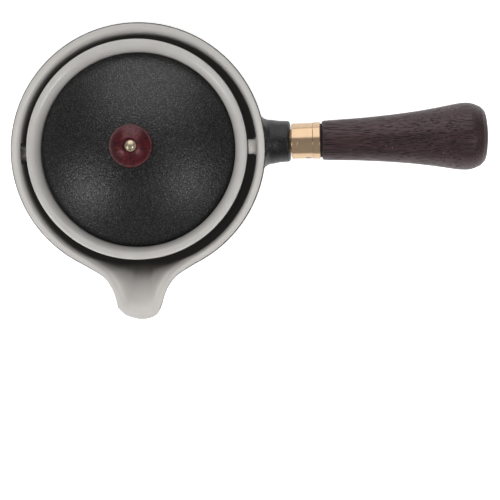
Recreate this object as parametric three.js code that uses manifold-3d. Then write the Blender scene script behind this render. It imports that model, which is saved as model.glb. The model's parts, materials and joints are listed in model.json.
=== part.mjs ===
// A side-handled ceramic filter kettle: a ball-shaped brewing bowl turns on two pins inside a spouted bowl.
// Millimetres, +Z up. X runs along the turning pins towards the handle, and the spout points to -Y.
// The origin is the middle of the foot, on the table.
import * as THREE from "three";
import { LoftGeometry } from "three/addons/geometries/LoftGeometry.js";
import { mergeVertices } from "three/addons/utils/BufferGeometryUtils.js";
import Module from "manifold-3d";

const wasm = await Module();
wasm.setup();

// Fits
const seatGap = 0.3; // between two pieces that rest on each other
const turnGap = 0.4; // round a pin in its socket
const cutOverrun = 2; // how far a cutting shape runs past what it cuts

// Outer bowl: a sphere about the turning axis, cut off at the rim
const bowlRadius = 63;
const bowlWall = 4.6;
const rimRise = 5; // rim above the turning axis
const rimOuterRound = 1.3;
const rimInnerRound = 2.4;
const footRadius = 27;
const footBevel = 1.2;
const footStand = 1; // foot below the sphere's lowest point
const axisHeight = bowlRadius + footStand;

// Spout: the side of the bowl drawn out to -Y, with a channel inside
const spoutReach = 21.3;
const spoutSide = -1; // middle of the spout beside the bowl's middle
const spoutHalfWidth = 12.1; // where the outside has lost half of its reach
const spoutDepth = 28; // below the rim, where the outside starts to swell
const channelHalfWidth = 8.9;
const channelDepth = 20;
const tipRise = 1.5;
const spoutFallPower = 1.5;
const channelFallPower = 1.4;
// Reach left at a distance from the middle plane, as shares of the reach and of the half width
const spoutWidthShares = [0, 0.6, 0.87, 1, 1.15, 1.46, 1.83, 2.4];
const spoutReachShares = [1, 0.935, 0.78, 0.52, 0.33, 0.125, 0.045, 0];
const channelWidthShares = [0, 0.55, 0.74, 1, 1.28, 1.64, 2.27, 2.8];
const channelReachShares = [1, 0.955, 0.85, 0.52, 0.33, 0.165, 0.055, 0];

// Turning pins of the outer bowl
const pinRadius = 3.7;
const pinGrip = 3.1; // how far a pin reaches into the ball
const pinTipRound = 0.8;
const pinFillet = 1.5; // round where it joins the wall

// Ball: the brewing bowl, a sphere about the same axis
const ballGap = 3.8; // between the ball and the bowl
const ballFootGap = 1.77; // between the ball's foot and the bowl as it turns
const ballRadius = bowlRadius - bowlWall - ballGap;
const ballWall = 5.5;
const ballRimRise = 11.1;
const ballRimOuterRound = 1.5;
const ballRimWidth = 6.25; // from the lid to the ball's outside
const ballRimRoll = 4.1; // width of the rolled slope from the rim to the lid
const ballFootRadius = 28.4;
const ballFootWidth = 6.2;
const ballFootDrop = radiusAt(bowlRadius - bowlWall - ballFootGap, ballFootRadius);
const ballFootBevel = 0.6;
const recessDepth = 5.2; // from the foot up to the ledge inside it
const ballFloorWall = 3.8; // floor above the ledge
const ballFloorDrop = ballFootDrop - recessDepth - ballFloorWall;
const ballFloorFall = 0.7; // slope of the floor to the strainer
const throatDepth = 9.2;
const throatFlare = 9; // height over which the throat opens to the ball's wall
const landWidth = 4.3;
const landRise = 1.5; // of the strainer's land above the ledge
const strainerHoleRadius = 14.2;

// Lid: it sits on a gallery at the top of the ball's throat
const lidRadius = radiusAt(ballRadius, ballRimRise - ballRimOuterRound) - ballRimWidth;
const galleryWidth = 3.5;
const throatRadius = lidRadius - galleryWidth;
const lidEdgeDrop = 2.9; // thickness of the lid's edge
const lidEdgeRound = 1;
const lidDomeRise = 12.5;
const lidWall = 4.2;
const lidEdgeRise = 5.4; // top of the edge above the turning axis
const skirtGap = 1.2; // between skirt and throat, closed by the seal
const skirtRadius = throatRadius - skirtGap;
const skirtWall = 4;
const skirtDepth = 7;
const sealHeight = 2;
const sealGrooveDepth = 1.5;
const sealGrooveLift = 0.9; // wall left under the groove

// Knob and its bolt
const knobRadius = 10.2;
const knobHeight = 17.6;
const knobWidthShares = [0.56, 0.62, 0.55, 0.8, 0.97, 1, 0.95, 0.79, 0.55, 0.36];
const knobHeightShares = [0, 0.05, 0.13, 0.28, 0.46, 0.58, 0.73, 0.87, 0.96, 1];
const boltRadius = 2;
const boltHeadRadius = 2.75;
const boltHeadRim = 0.7;
const boltHeadDome = 1.1;
const boltHeadSink = 0.9; // depth of the knob's seat for the head
const washerRadius = 6;
const washerThickness = 1;
const nutRadius = 4.05; // over the corners
const nutThickness = 3.2;
const boltEnd = 1.2; // what sticks out of the nut

// Strainer: a perforated steel cup held by four tabs
const strainerHeight = 9;
const strainerTaper = 2.4; // how much narrower its top is
const strainerCorner = 2;
const sheet = 0.6;
const tabWidth = 3;
const tabReach = 3.4;
const tabCount = 4;
const tabTurn = Math.PI / 4;
const holeRadius = 0.62;
const holePitch = 2.2;
const holeRings = 4;
const holesPerRing = 6; // added by each ring

// Neck, ferrule and grip, along the handle's axis from the bowl's side
const handleTilt = THREE.MathUtils.degToRad(6);
const handleSwing = THREE.MathUtils.degToRad(0.43); // towards the spout's side
const handleSide = 2.45; // axis behind the pins' axis, at the bowl's side
const neckDrop = 8; // axis below the turning axis, at the bowl's side
const neckRadius = 10.3;
const neckLength = 13.25;
const neckRoot = 9; // how far its shape runs in before the bowl's wall cuts it
const neckEndRound = 1.2;
const neckLengthShares = [-0.66, 0.02, 0.2, 0.45, 0.8];
const neckRadiusShares = [1.24, 1.22, 1.11, 1.035, 1];
const neckBoreRadius = 6.2;
const neckBoreDepth = 11;
const sleeveRadius = 9.05;
const sleeveLength = 10.5;
const sleeveBevel = 0.4;
const spigotLength = 10;
const collarRadius = 9.35;
const collarLength = 3.7;
const gasketRadius = 8.5;
const gasketThickness = 0.5;
const rodRadius = 2.5;
const rodLength = 56;
const rodInset = 0.6; // rod's end from the bottom of the neck's bore
const screwRadius = 1;
const screwLength = 4.2;
const screwSink = 0.15;
const screwBack = 2.3; // from the sleeve's outer end
const screwTurn = THREE.MathUtils.degToRad(65); // from the top towards the spout's side
const gripLength = 80.15;
const gripRadius = 16.6;
const gripFrontRound = 1.1;
const gripLengthShares = [0.015, 0.23, 0.47, 0.71, 0.835, 0.88, 0.925, 0.955, 0.98, 0.993, 1];
const gripRadiusShares = [0.598, 0.643, 0.733, 0.885, 0.987, 1, 0.958, 0.897, 0.789, 0.64, 0.42];

// Fineness of the faceted solids
const bowlSteps = 34;
const spoutSteps = 20;
const ballSteps = 40;
const turnedSteps = 24;
const smallSteps = 16;
const roundSteps = 3;
const outlineFineness = 1.5; // steps for each entry of a share table
const sphereSteps = 8;

// Materials
const glazes = {
  sand: { color: 0x26262a, roughness: 0.75, metalness: 0 },
  satinBlack: { color: 0x1b1b1c, roughness: 0.45, metalness: 0 },
  lidBlack: { color: 0x222326, roughness: 0.6, metalness: 0 },
  rosewood: { color: 0x4a1418, roughness: 0.3, metalness: 0 },
  darkWood: { color: 0x35252a, roughness: 0.55, metalness: 0 },
  brass: { color: 0xc9a06a, roughness: 0.28, metalness: 1 },
  paleBrass: { color: 0xd9cfae, roughness: 0.2, metalness: 1 },
  steel: { color: 0xb8b8ba, roughness: 0.3, metalness: 1 },
  silicone: { color: 0xd8d6d0, roughness: 0.6, metalness: 0 },
  darkRubber: { color: 0x1c1818, roughness: 0.7, metalness: 0 },
};

// Points of an arc in a profile, from one angle to another
function arc(centreR, centreZ, radius, from, to, steps) {
  return Array.from({ length: steps + 1 }, (unused, i) => {
    const angle = THREE.MathUtils.lerp(from, to, i / steps);
    return new THREE.Vector2(centreR + radius * Math.cos(angle), centreZ + radius * Math.sin(angle));
  });
}

// Points of a smooth outline through share tables, scaled by a radius and a length
function outline(radiusShares, lengthShares, radius, length, start) {
  const points = radiusShares.map(
    (share, i) => new THREE.Vector2(share * radius, start + lengthShares[i] * length),
  );
  return new THREE.SplineCurve(points).getPoints(Math.ceil(outlineFineness * (points.length - 1)));
}

// Radius of a sphere's section at a distance from its middle
function radiusAt(sphere, z) {
  return Math.sqrt(sphere ** 2 - z ** 2);
}

// A profile of radius and height turned round Z
function turned(points, steps) {
  return new THREE.LatheGeometry(points, steps).rotateX(Math.PI / 2);
}

// A profile of radius and length turned round X
function turnedAlongX(points, steps) {
  return new THREE.LatheGeometry(points, steps).rotateZ(-Math.PI / 2);
}

// A closed geometry as a solid that can be joined and cut
function solid(geometry) {
  const bare = new THREE.BufferGeometry().setAttribute("position", geometry.getAttribute("position"));
  const merged = mergeVertices(bare.setIndex(geometry.index));
  return new wasm.Manifold(
    new wasm.Mesh({
      numProp: 3,
      vertProperties: merged.attributes.position.array,
      triVerts: new Uint32Array(merged.index.array),
    }),
  );
}

// A solid as a geometry again
function geometryOf(body) {
  const mesh = body.getMesh();
  return new THREE.BufferGeometry()
    .setAttribute("position", new THREE.BufferAttribute(mesh.vertProperties, 3))
    .setIndex(new THREE.BufferAttribute(mesh.triVerts, 1));
}

// A named piece with its own material
function piece(name, geometry, glaze) {
  const flat = geometry.index ? geometry.toNonIndexed() : geometry;
  flat.computeVertexNormals();
  const mesh = new THREE.Mesh(flat, new THREE.MeshStandardMaterial(glaze));
  mesh.name = name;
  return mesh;
}

// How far the spout pulls a point of the bowl out: skin is 0 on the outside and 1 on the inside
function spoutPull(x, z, skin) {
  const fall = (depth, power) => Math.max(0, 1 - (rimRise - z) / depth) ** power;
  const left = (widths, reaches, halfWidth) => {
    const share = Math.abs(x - spoutSide) / halfWidth;
    if (share >= widths.at(-1)) return 0;
    return new THREE.CubicInterpolant(widths, reaches, 1).evaluate(share)[0];
  };
  const outside = left(spoutWidthShares, spoutReachShares, spoutHalfWidth) * fall(spoutDepth, spoutFallPower);
  const inside =
    left(channelWidthShares, channelReachShares, channelHalfWidth) * fall(channelDepth, channelFallPower);
  return THREE.MathUtils.lerp(outside, inside, skin);
}

// Angles round the bowl, closer together at the spout
function bowlAngles() {
  const spoutHalfAngle = Math.asin((spoutWidthShares.at(-1) * spoutHalfWidth) / bowlRadius);
  const first = -Math.PI / 2 - spoutHalfAngle;
  const rest = 2 * (Math.PI - spoutHalfAngle);
  const atSpout = Array.from(
    { length: spoutSteps },
    (unused, i) => first + (2 * spoutHalfAngle * i) / spoutSteps,
  );
  const away = Array.from(
    { length: bowlSteps },
    (unused, i) => first + 2 * spoutHalfAngle + (rest * i) / bowlSteps,
  );
  return [...atSpout, ...away];
}

// Profile of the outer bowl from the edge of its foot, over the rim, to the middle of its floor
function bowlProfile() {
  const inner = bowlRadius - bowlWall;
  const outerTop = rimRise - rimOuterRound;
  const innerTop = rimRise - rimInnerRound;
  const outerEdge = radiusAt(bowlRadius, outerTop);
  const innerEdge = radiusAt(inner, innerTop);
  const footAngle = -Math.acos(footRadius / bowlRadius);
  const outside = [
    new THREE.Vector2(footRadius - footBevel, -axisHeight),
    new THREE.Vector2(footRadius, footBevel - axisHeight),
    ...arc(0, 0, bowlRadius, footAngle, Math.asin(outerTop / bowlRadius), sphereSteps),
  ];
  const rim = [
    ...arc(outerEdge - rimOuterRound, outerTop, rimOuterRound, 0, Math.PI / 2, roundSteps).slice(1),
    ...arc(innerEdge + rimInnerRound, innerTop, rimInnerRound, Math.PI / 2, Math.PI, roundSteps),
  ];
  const inside = [
    ...arc(0, 0, inner, Math.asin(innerTop / inner), -Math.PI / 2, sphereSteps + 2).slice(1, -1),
    new THREE.Vector2(0, -inner),
  ];
  const skinOf = (p) => THREE.MathUtils.clamp((outerEdge - p.x) / (outerEdge - innerEdge), 0, 1);
  return [
    ...outside.map((point) => ({ point, skin: 0 })),
    ...rim.map((point) => ({ point, skin: skinOf(point) })),
    ...inside.map((point) => ({ point, skin: 1 })),
  ];
}

// The spouted shell of the outer bowl, about the turning axis
function bowlShell() {
  const angles = bowlAngles();
  const rings = bowlProfile().map(({ point, skin }) =>
    angles.map((angle) => {
      const x = point.x * Math.cos(angle);
      const y = point.x * Math.sin(angle);
      const pull = y < 0 ? spoutPull(x, point.y, skin) : 0;
      return new THREE.Vector3(x, y - spoutReach * pull, point.y + tipRise * pull);
    }),
  );
  return new LoftGeometry(rings, { capStart: true });
}

// A pin that stands inwards from the bowl's wall, on the side of +X
function turningPin() {
  const inner = bowlRadius - bowlWall;
  const tip = ballRadius - pinGrip;
  const root = inner + bowlWall / 2;
  const profile = [
    new THREE.Vector2(0, tip),
    ...arc(pinRadius - pinTipRound, tip + pinTipRound, pinTipRound, -Math.PI / 2, 0, roundSteps),
    ...arc(pinRadius + pinFillet, inner - pinFillet, pinFillet, Math.PI, Math.PI / 2, roundSteps),
    new THREE.Vector2(pinRadius + pinFillet, root),
    new THREE.Vector2(0, root),
  ];
  return turnedAlongX(profile, smallSteps);
}

// Frame of the handle: its origin is on the bowl's side and its X runs along the grip
function handleFrame() {
  const frame = new THREE.Group();
  frame.position.set(bowlRadius, handleSide, axisHeight - neckDrop);
  frame.rotation.set(0, -handleTilt, -handleSwing, "ZYX");
  frame.updateMatrixWorld(true);
  return frame;
}

// Ceramic neck with the bore that takes the ferrule's spigot
function neck() {
  const profile = [
    new THREE.Vector2(0, -neckRoot),
    ...outline(neckRadiusShares, neckLengthShares, neckRadius, neckLength, 0),
    ...arc(neckRadius - neckEndRound, neckLength - neckEndRound, neckEndRound, 0, Math.PI / 2, roundSteps),
    new THREE.Vector2(neckBoreRadius, neckLength),
    new THREE.Vector2(neckBoreRadius, neckLength - neckBoreDepth),
    new THREE.Vector2(0, neckLength - neckBoreDepth),
  ];
  return turnedAlongX(profile, turnedSteps);
}

function outerBowl() {
  const pin = turningPin();
  const lift = new THREE.Matrix4().makeTranslation(0, 0, axisHeight);
  const shell = solid(bowlShell().applyMatrix4(lift));
  const nearPin = solid(pin.clone().applyMatrix4(lift));
  const farPin = solid(pin.clone().rotateZ(Math.PI).applyMatrix4(lift));
  const midWall = new THREE.SphereGeometry(bowlRadius - bowlWall / 2, bowlSteps, turnedSteps);
  const stub = solid(neck().applyMatrix4(handleFrame().matrixWorld));
  const root = stub.subtract(solid(midWall.applyMatrix4(lift)));
  return piece("outer_bowl", geometryOf(shell.add(nearPin).add(farPin).add(root)), glazes.sand);
}

// Profile of the ball from the strainer's hole, round the outside, over the rim and down the inside
function ballProfile() {
  const inner = ballRadius - ballWall;
  const footZ = -ballFootDrop;
  const ledgeZ = footZ + recessDepth;
  const landZ = ledgeZ - landRise;
  const footInner = ballFootRadius - ballFootWidth;
  const landEdge = strainerHoleRadius + landWidth;
  const rimSide = ballRimRise - ballRimOuterRound;
  const rimEdge = radiusAt(ballRadius, rimSide);
  const bore = lidRadius + turnGap;
  const galleryZ = lidEdgeRise - lidEdgeDrop - seatGap;
  const throatFoot = galleryZ - throatDepth;
  const flareFoot = throatFoot - throatFlare;
  const roll = Array.from({ length: roundSteps + 2 }, (unused, i) => {
    const angle = ((Math.PI / 2) * i) / (roundSteps + 1);
    return new THREE.Vector2(
      bore + ballRimRoll * (1 - Math.sin(angle)),
      lidEdgeRise + (ballRimRise - lidEdgeRise) * Math.cos(angle),
    );
  });
  const points = [
    new THREE.Vector2(strainerHoleRadius, landZ),
    new THREE.Vector2(landEdge - landRise / 2, landZ),
    new THREE.Vector2(landEdge, ledgeZ),
    new THREE.Vector2(footInner, ledgeZ),
    new THREE.Vector2(footInner, footZ + ballFootBevel),
    new THREE.Vector2(footInner + ballFootBevel, footZ),
    new THREE.Vector2(ballFootRadius - ballFootBevel, footZ),
    new THREE.Vector2(ballFootRadius, footZ + ballFootBevel),
    ...arc(0, 0, ballRadius, -Math.acos(ballFootRadius / ballRadius), Math.asin(rimSide / ballRadius), sphereSteps),
    ...arc(rimEdge - ballRimOuterRound, rimSide, ballRimOuterRound, 0, Math.PI / 2, roundSteps).slice(1),
    ...roll,
    new THREE.Vector2(bore, galleryZ),
    new THREE.Vector2(throatRadius, galleryZ),
    new THREE.Vector2(throatRadius, throatFoot),
    ...arc(0, 0, inner, Math.asin(flareFoot / inner), -Math.asin(ballFloorDrop / inner), sphereSteps - 3),
    new THREE.Vector2(strainerHoleRadius, -ballFloorDrop - ballFloorFall),
  ];
  points.push(points[0].clone());
  return points;
}

// A round socket for a pin, with the slot that lets the ball down on to it, on the side of +X
function pinSocket() {
  const radius = pinRadius + turnGap;
  const floor = ballRadius - pinGrip - turnGap;
  const depth = pinGrip + turnGap + cutOverrun;
  const slotLength = radiusAt(ballRadius, floor) + cutOverrun;
  const round = new THREE.CylinderGeometry(radius, radius, depth, smallSteps)
    .rotateZ(Math.PI / 2)
    .translate(floor + depth / 2, 0, 0);
  const slot = new THREE.BoxGeometry(depth, slotLength, 2 * radius).translate(floor + depth / 2, slotLength / 2, 0);
  return solid(round).add(solid(slot));
}

function innerBowl() {
  const body = solid(turned(ballProfile(), ballSteps));
  const near = pinSocket();
  const far = near.mirror([1, 0, 0]);
  return piece("inner_bowl", geometryOf(body.subtract(near).subtract(far)), glazes.satinBlack);
}

// One bent tab of the strainer, pointing to +X from the cup's rim
function strainerTab(rim) {
  const tongue = new THREE.Shape();
  const half = tabWidth / 2;
  tongue.moveTo(-sheet, -half);
  tongue.lineTo(tabReach - half, -half);
  tongue.absarc(tabReach - half, 0, half, -Math.PI / 2, Math.PI / 2, false);
  tongue.lineTo(-sheet, half);
  tongue.closePath();
  return new THREE.ExtrudeGeometry(tongue, { depth: sheet, bevelEnabled: false, curveSegments: roundSteps })
    .translate(rim, 0, 0);
}

// Places of the strainer's holes: a middle one and rings round it
function strainerHoles() {
  const places = [[0, 0]];
  for (let ring = 1; ring <= holeRings; ring++) {
    const count = ring * holesPerRing;
    for (let i = 0; i < count; i++) {
      const angle = (2 * Math.PI * i) / count;
      places.push([ring * holePitch * Math.cos(angle), ring * holePitch * Math.sin(angle)]);
    }
  }
  return places;
}

// The strainer's cup opens downwards: zero is the plane of its tabs' upper faces
function strainer() {
  const rim = strainerHoleRadius - seatGap;
  const top = rim - strainerTaper;
  const corner = (inset, radius) =>
    arc(top - strainerCorner, strainerHeight - strainerCorner, radius, inset, Math.PI / 2 - inset, roundSteps);
  const outer = corner(0, strainerCorner);
  const inner = corner(0, strainerCorner - sheet).reverse();
  const profile = [
    new THREE.Vector2(0, strainerHeight - sheet),
    ...inner,
    new THREE.Vector2(rim - sheet, -sheet),
    new THREE.Vector2(rim, -sheet),
    ...outer,
    new THREE.Vector2(0, strainerHeight),
  ];
  let cup = solid(turned(profile, turnedSteps));
  for (let i = 0; i < tabCount; i++) {
    const tab = strainerTab(rim)
      .translate(0, 0, -sheet)
      .rotateZ(tabTurn + (2 * Math.PI * i) / tabCount);
    cup = cup.add(solid(tab));
  }
  const drill = new THREE.CylinderGeometry(holeRadius, holeRadius, 2 * cutOverrun, holesPerRing).rotateX(Math.PI / 2);
  for (const [x, y] of strainerHoles()) {
    cup = cup.subtract(solid(drill.clone().translate(x, y, strainerHeight)));
  }
  const mesh = piece("strainer", geometryOf(cup), glazes.steel);
  mesh.position.z = recessDepth - landRise - ballFootDrop - seatGap;
  return mesh;
}

// Radius of the sphere that the lid's dome is a cap of
function domeSphere() {
  return (lidRadius ** 2 + lidDomeRise ** 2) / (2 * lidDomeRise);
}

// Zero is the top of the lid's edge
function lidShell() {
  const sphere = domeSphere();
  const centre = lidDomeRise - sphere;
  const bore = boltRadius + turnGap;
  const skirtInner = skirtRadius - skirtWall;
  const under = sphere - lidWall;
  const edge = lidRadius - lidEdgeRound;
  const foot = -lidEdgeDrop - skirtDepth;
  const grooveFoot = foot + sealGrooveLift;
  const grooveTop = grooveFoot + sealHeight + 2 * seatGap;
  const grooveWall = skirtRadius - sealGrooveDepth;
  const profile = [
    ...arc(0, centre, under, Math.acos(bore / under), Math.acos(skirtInner / under), sphereSteps - 4),
    new THREE.Vector2(skirtInner, foot),
    new THREE.Vector2(skirtRadius, foot),
    new THREE.Vector2(skirtRadius, grooveFoot),
    new THREE.Vector2(grooveWall, grooveFoot),
    new THREE.Vector2(grooveWall, grooveTop),
    new THREE.Vector2(skirtRadius, grooveTop),
    new THREE.Vector2(skirtRadius, -lidEdgeDrop),
    new THREE.Vector2(lidRadius, -lidEdgeDrop),
    new THREE.Vector2(lidRadius, -lidEdgeRound),
    ...arc(0, centre, sphere, Math.acos(edge / sphere), Math.acos(bore / sphere), sphereSteps),
  ];
  profile.push(profile[0].clone());
  return piece("lid", turned(profile, ballSteps), glazes.lidBlack);
}

function lidSeal() {
  const outer = throatRadius - seatGap;
  const inner = skirtRadius - sealGrooveDepth + seatGap;
  const foot = sealGrooveLift + seatGap - lidEdgeDrop - skirtDepth;
  const lip = (outer - skirtRadius) / 2;
  const profile = [
    new THREE.Vector2(inner, foot),
    new THREE.Vector2(outer - lip, foot),
    new THREE.Vector2(outer, foot + sealHeight / 2),
    new THREE.Vector2(outer - lip, foot + sealHeight),
    new THREE.Vector2(inner, foot + sealHeight),
    new THREE.Vector2(inner, foot),
  ];
  return piece("lid_seal", turned(profile, ballSteps), glazes.silicone);
}

// Turned knob, standing on the dome
function lidKnob() {
  const bore = boltRadius + turnGap;
  const seat = boltHeadRadius + turnGap;
  const profile = [
    new THREE.Vector2(bore, 0),
    ...outline(knobWidthShares, knobHeightShares, knobRadius, knobHeight, 0),
    new THREE.Vector2(seat, knobHeight),
    new THREE.Vector2(seat, knobHeight - boltHeadSink),
    new THREE.Vector2(bore, knobHeight - boltHeadSink),
    new THREE.Vector2(bore, 0),
  ];
  const mesh = piece("lid_knob", turned(profile, turnedSteps), glazes.rosewood);
  mesh.position.z = lidDomeRise + seatGap;
  return mesh;
}

// Domed brass bolt through the knob and the lid, with its washer and nut under the dome
function knobBolt() {
  const group = new THREE.Group();
  const headFoot = lidDomeRise + knobHeight - boltHeadSink + 2 * seatGap;
  const under = domeSphere() - lidWall;
  const washerTop = lidDomeRise - domeSphere() + radiusAt(under, washerRadius) - seatGap;
  const nutTop = washerTop - washerThickness - seatGap;
  const end = nutTop - nutThickness - boltEnd;
  const domeTop = headFoot + boltHeadRim + boltHeadDome;
  const headSphere = (boltHeadRadius ** 2 + boltHeadDome ** 2) / (2 * boltHeadDome);
  const rimAngle = Math.acos(boltHeadRadius / headSphere);
  const boltProfile = [
    new THREE.Vector2(0, end),
    new THREE.Vector2(boltRadius, end),
    new THREE.Vector2(boltRadius, headFoot),
    new THREE.Vector2(boltHeadRadius, headFoot),
    ...arc(0, domeTop - headSphere, headSphere, rimAngle, Math.PI / 2, 2 * roundSteps),
  ];
  group.add(piece("knob_bolt", turned(boltProfile, smallSteps), glazes.paleBrass));
  const hole = boltRadius + seatGap;
  const washerProfile = [
    new THREE.Vector2(hole, -washerThickness),
    new THREE.Vector2(washerRadius, -washerThickness),
    new THREE.Vector2(washerRadius, 0),
    new THREE.Vector2(hole, 0),
    new THREE.Vector2(hole, -washerThickness),
  ];
  const washer = piece("knob_washer", turned(washerProfile, smallSteps), glazes.silicone);
  washer.position.z = washerTop;
  group.add(washer);
  const hexagon = new THREE.CylinderGeometry(nutRadius, nutRadius, nutThickness, 6).rotateX(Math.PI / 2);
  const thread = new THREE.CylinderGeometry(hole, hole, nutThickness + cutOverrun, smallSteps).rotateX(Math.PI / 2);
  const nut = piece("knob_nut", geometryOf(solid(hexagon).subtract(solid(thread))), glazes.steel);
  nut.position.z = nutTop - nutThickness / 2;
  group.add(nut);
  return group;
}

// A turned ring along the handle: its ends have small bevels
function ferrulePart(name, start, length, radius, bevel, glaze) {
  const bore = rodRadius + seatGap;
  const profile = [
    new THREE.Vector2(bore, start),
    new THREE.Vector2(radius - bevel, start),
    new THREE.Vector2(radius, start + bevel),
    new THREE.Vector2(radius, start + length - bevel),
    new THREE.Vector2(radius - bevel, start + length),
    new THREE.Vector2(bore, start + length),
    new THREE.Vector2(bore, start),
  ];
  return piece(name, turnedAlongX(profile, turnedSteps), glaze);
}

// Brass sleeve: its spigot is glued into the neck, and a grub screw holds the rod in it
function ferruleSleeve(start) {
  const bore = rodRadius + seatGap;
  const spigot = neckBoreRadius - seatGap;
  const end = start + sleeveLength;
  const profile = [
    new THREE.Vector2(bore, start - spigotLength),
    new THREE.Vector2(spigot, start - spigotLength),
    new THREE.Vector2(spigot, start),
    new THREE.Vector2(sleeveRadius - sleeveBevel, start),
    new THREE.Vector2(sleeveRadius, start + sleeveBevel),
    new THREE.Vector2(sleeveRadius, end - sleeveBevel),
    new THREE.Vector2(sleeveRadius - sleeveBevel, end),
    new THREE.Vector2(bore, end),
    new THREE.Vector2(bore, start - spigotLength),
  ];
  const reach = sleeveRadius + cutOverrun;
  const tap = new THREE.CylinderGeometry(screwRadius + seatGap, screwRadius + seatGap, reach, smallSteps)
    .rotateX(Math.PI / 2)
    .translate(0, 0, reach / 2)
    .rotateX(screwTurn)
    .translate(end - screwBack, 0, 0);
  const body = solid(turnedAlongX(profile, turnedSteps)).subtract(solid(tap));
  return piece("ferrule_sleeve", geometryOf(body), glazes.brass);
}

function setScrew(start) {
  const screw = new THREE.CylinderGeometry(screwRadius, screwRadius, screwLength, smallSteps)
    .rotateX(Math.PI / 2)
    .translate(0, 0, sleeveRadius - screwSink - screwLength / 2)
    .rotateX(screwTurn)
    .translate(start + sleeveLength - screwBack, 0, 0);
  return piece("ferrule_screw", screw, glazes.steel);
}

// Turned wooden grip with the bore for the rod
function handleGrip(start, boreDepth) {
  const bore = rodRadius + seatGap;
  const front = gripRadiusShares[0] * gripRadius;
  const profile = [
    new THREE.Vector2(bore, start),
    ...arc(front - gripFrontRound, start + gripFrontRound, gripFrontRound, -Math.PI / 2, 0, roundSteps),
    ...outline(gripRadiusShares, gripLengthShares, gripRadius, gripLength, start).slice(1),
    new THREE.Vector2(0, start + gripLength),
    new THREE.Vector2(0, start + boreDepth),
    new THREE.Vector2(bore, start + boreDepth),
    new THREE.Vector2(bore, start),
  ];
  return piece("handle_grip", turnedAlongX(profile, turnedSteps), glazes.darkWood);
}

function handle() {
  const frame = handleFrame();
  const sleeveStart = neckLength + seatGap;
  const collarStart = sleeveStart + sleeveLength + seatGap;
  const gasketStart = collarStart + collarLength + seatGap;
  const gripStart = gasketStart + gasketThickness + seatGap;
  const rodStart = neckLength - neckBoreDepth + rodInset;
  const rodEnd = rodStart + rodLength;
  const rodProfile = [
    new THREE.Vector2(0, rodStart),
    new THREE.Vector2(rodRadius, rodStart),
    new THREE.Vector2(rodRadius, rodEnd),
    new THREE.Vector2(0, rodEnd),
  ];
  frame.add(ferruleSleeve(sleeveStart));
  frame.add(setScrew(sleeveStart));
  frame.add(ferrulePart("ferrule_collar", collarStart, collarLength, collarRadius, sleeveBevel, glazes.brass));
  frame.add(ferrulePart("handle_gasket", gasketStart, gasketThickness, gasketRadius, 0, glazes.darkRubber));
  frame.add(handleGrip(gripStart, rodEnd + seatGap - gripStart));
  frame.add(piece("handle_rod", turnedAlongX(rodProfile, smallSteps), glazes.steel));
  return frame;
}

// Everything that lifts off with the lid
function lid() {
  const group = new THREE.Group();
  group.position.z = lidEdgeRise;
  group.add(lidShell(), lidSeal(), lidKnob(), knobBolt());
  return group;
}

// Everything that turns on the pins
function ball() {
  const group = new THREE.Group();
  group.position.z = axisHeight;
  group.add(innerBowl(), strainer(), lid());
  return group;
}

const kettle = new THREE.Group();
kettle.add(outerBowl(), handle(), ball());

export default kettle;
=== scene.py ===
"""Looks of the filter kettle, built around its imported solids. Metres, +Z up, spout to -Y, handle to +X."""

import json
import logging
import math
from collections.abc import Callable, Mapping, Sequence
from dataclasses import dataclass
from enum import Enum

import bmesh
import bpy
import numpy as np
from mathutils import Matrix, Vector

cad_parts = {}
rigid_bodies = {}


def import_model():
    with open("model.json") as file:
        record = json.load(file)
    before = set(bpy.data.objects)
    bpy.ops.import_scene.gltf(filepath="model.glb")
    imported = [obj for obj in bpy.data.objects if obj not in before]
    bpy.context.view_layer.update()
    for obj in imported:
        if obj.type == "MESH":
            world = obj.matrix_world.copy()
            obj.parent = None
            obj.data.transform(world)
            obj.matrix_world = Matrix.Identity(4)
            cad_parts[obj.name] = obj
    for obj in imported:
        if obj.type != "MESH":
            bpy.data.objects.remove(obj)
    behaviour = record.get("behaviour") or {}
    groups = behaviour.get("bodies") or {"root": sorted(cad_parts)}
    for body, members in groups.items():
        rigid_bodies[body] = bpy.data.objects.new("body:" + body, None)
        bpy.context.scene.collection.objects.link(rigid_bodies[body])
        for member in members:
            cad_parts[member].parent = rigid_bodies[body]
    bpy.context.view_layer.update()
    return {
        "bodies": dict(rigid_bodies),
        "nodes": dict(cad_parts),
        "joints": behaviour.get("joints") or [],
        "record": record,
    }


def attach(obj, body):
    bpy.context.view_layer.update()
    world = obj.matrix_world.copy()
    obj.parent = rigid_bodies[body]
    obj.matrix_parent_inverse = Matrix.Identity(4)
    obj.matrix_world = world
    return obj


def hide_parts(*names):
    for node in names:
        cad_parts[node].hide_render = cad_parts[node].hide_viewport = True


LOG = logging.getLogger("kettle")
MM = 0.001
Point = tuple[float, float]
Corner = tuple[float, float, float]
Colour = tuple[float, float, float]


class Body(Enum):
    """The bodies that pieces ride on."""

    KETTLE = "kettle"
    BALL = "brewing_bowl"
    LID = "lid_unit"


class Glow(Enum):
    """What a soft box does."""

    FULL = "light and gloss"
    SOFT = "light without gloss"
    GLOSS = "gloss without light"


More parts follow.
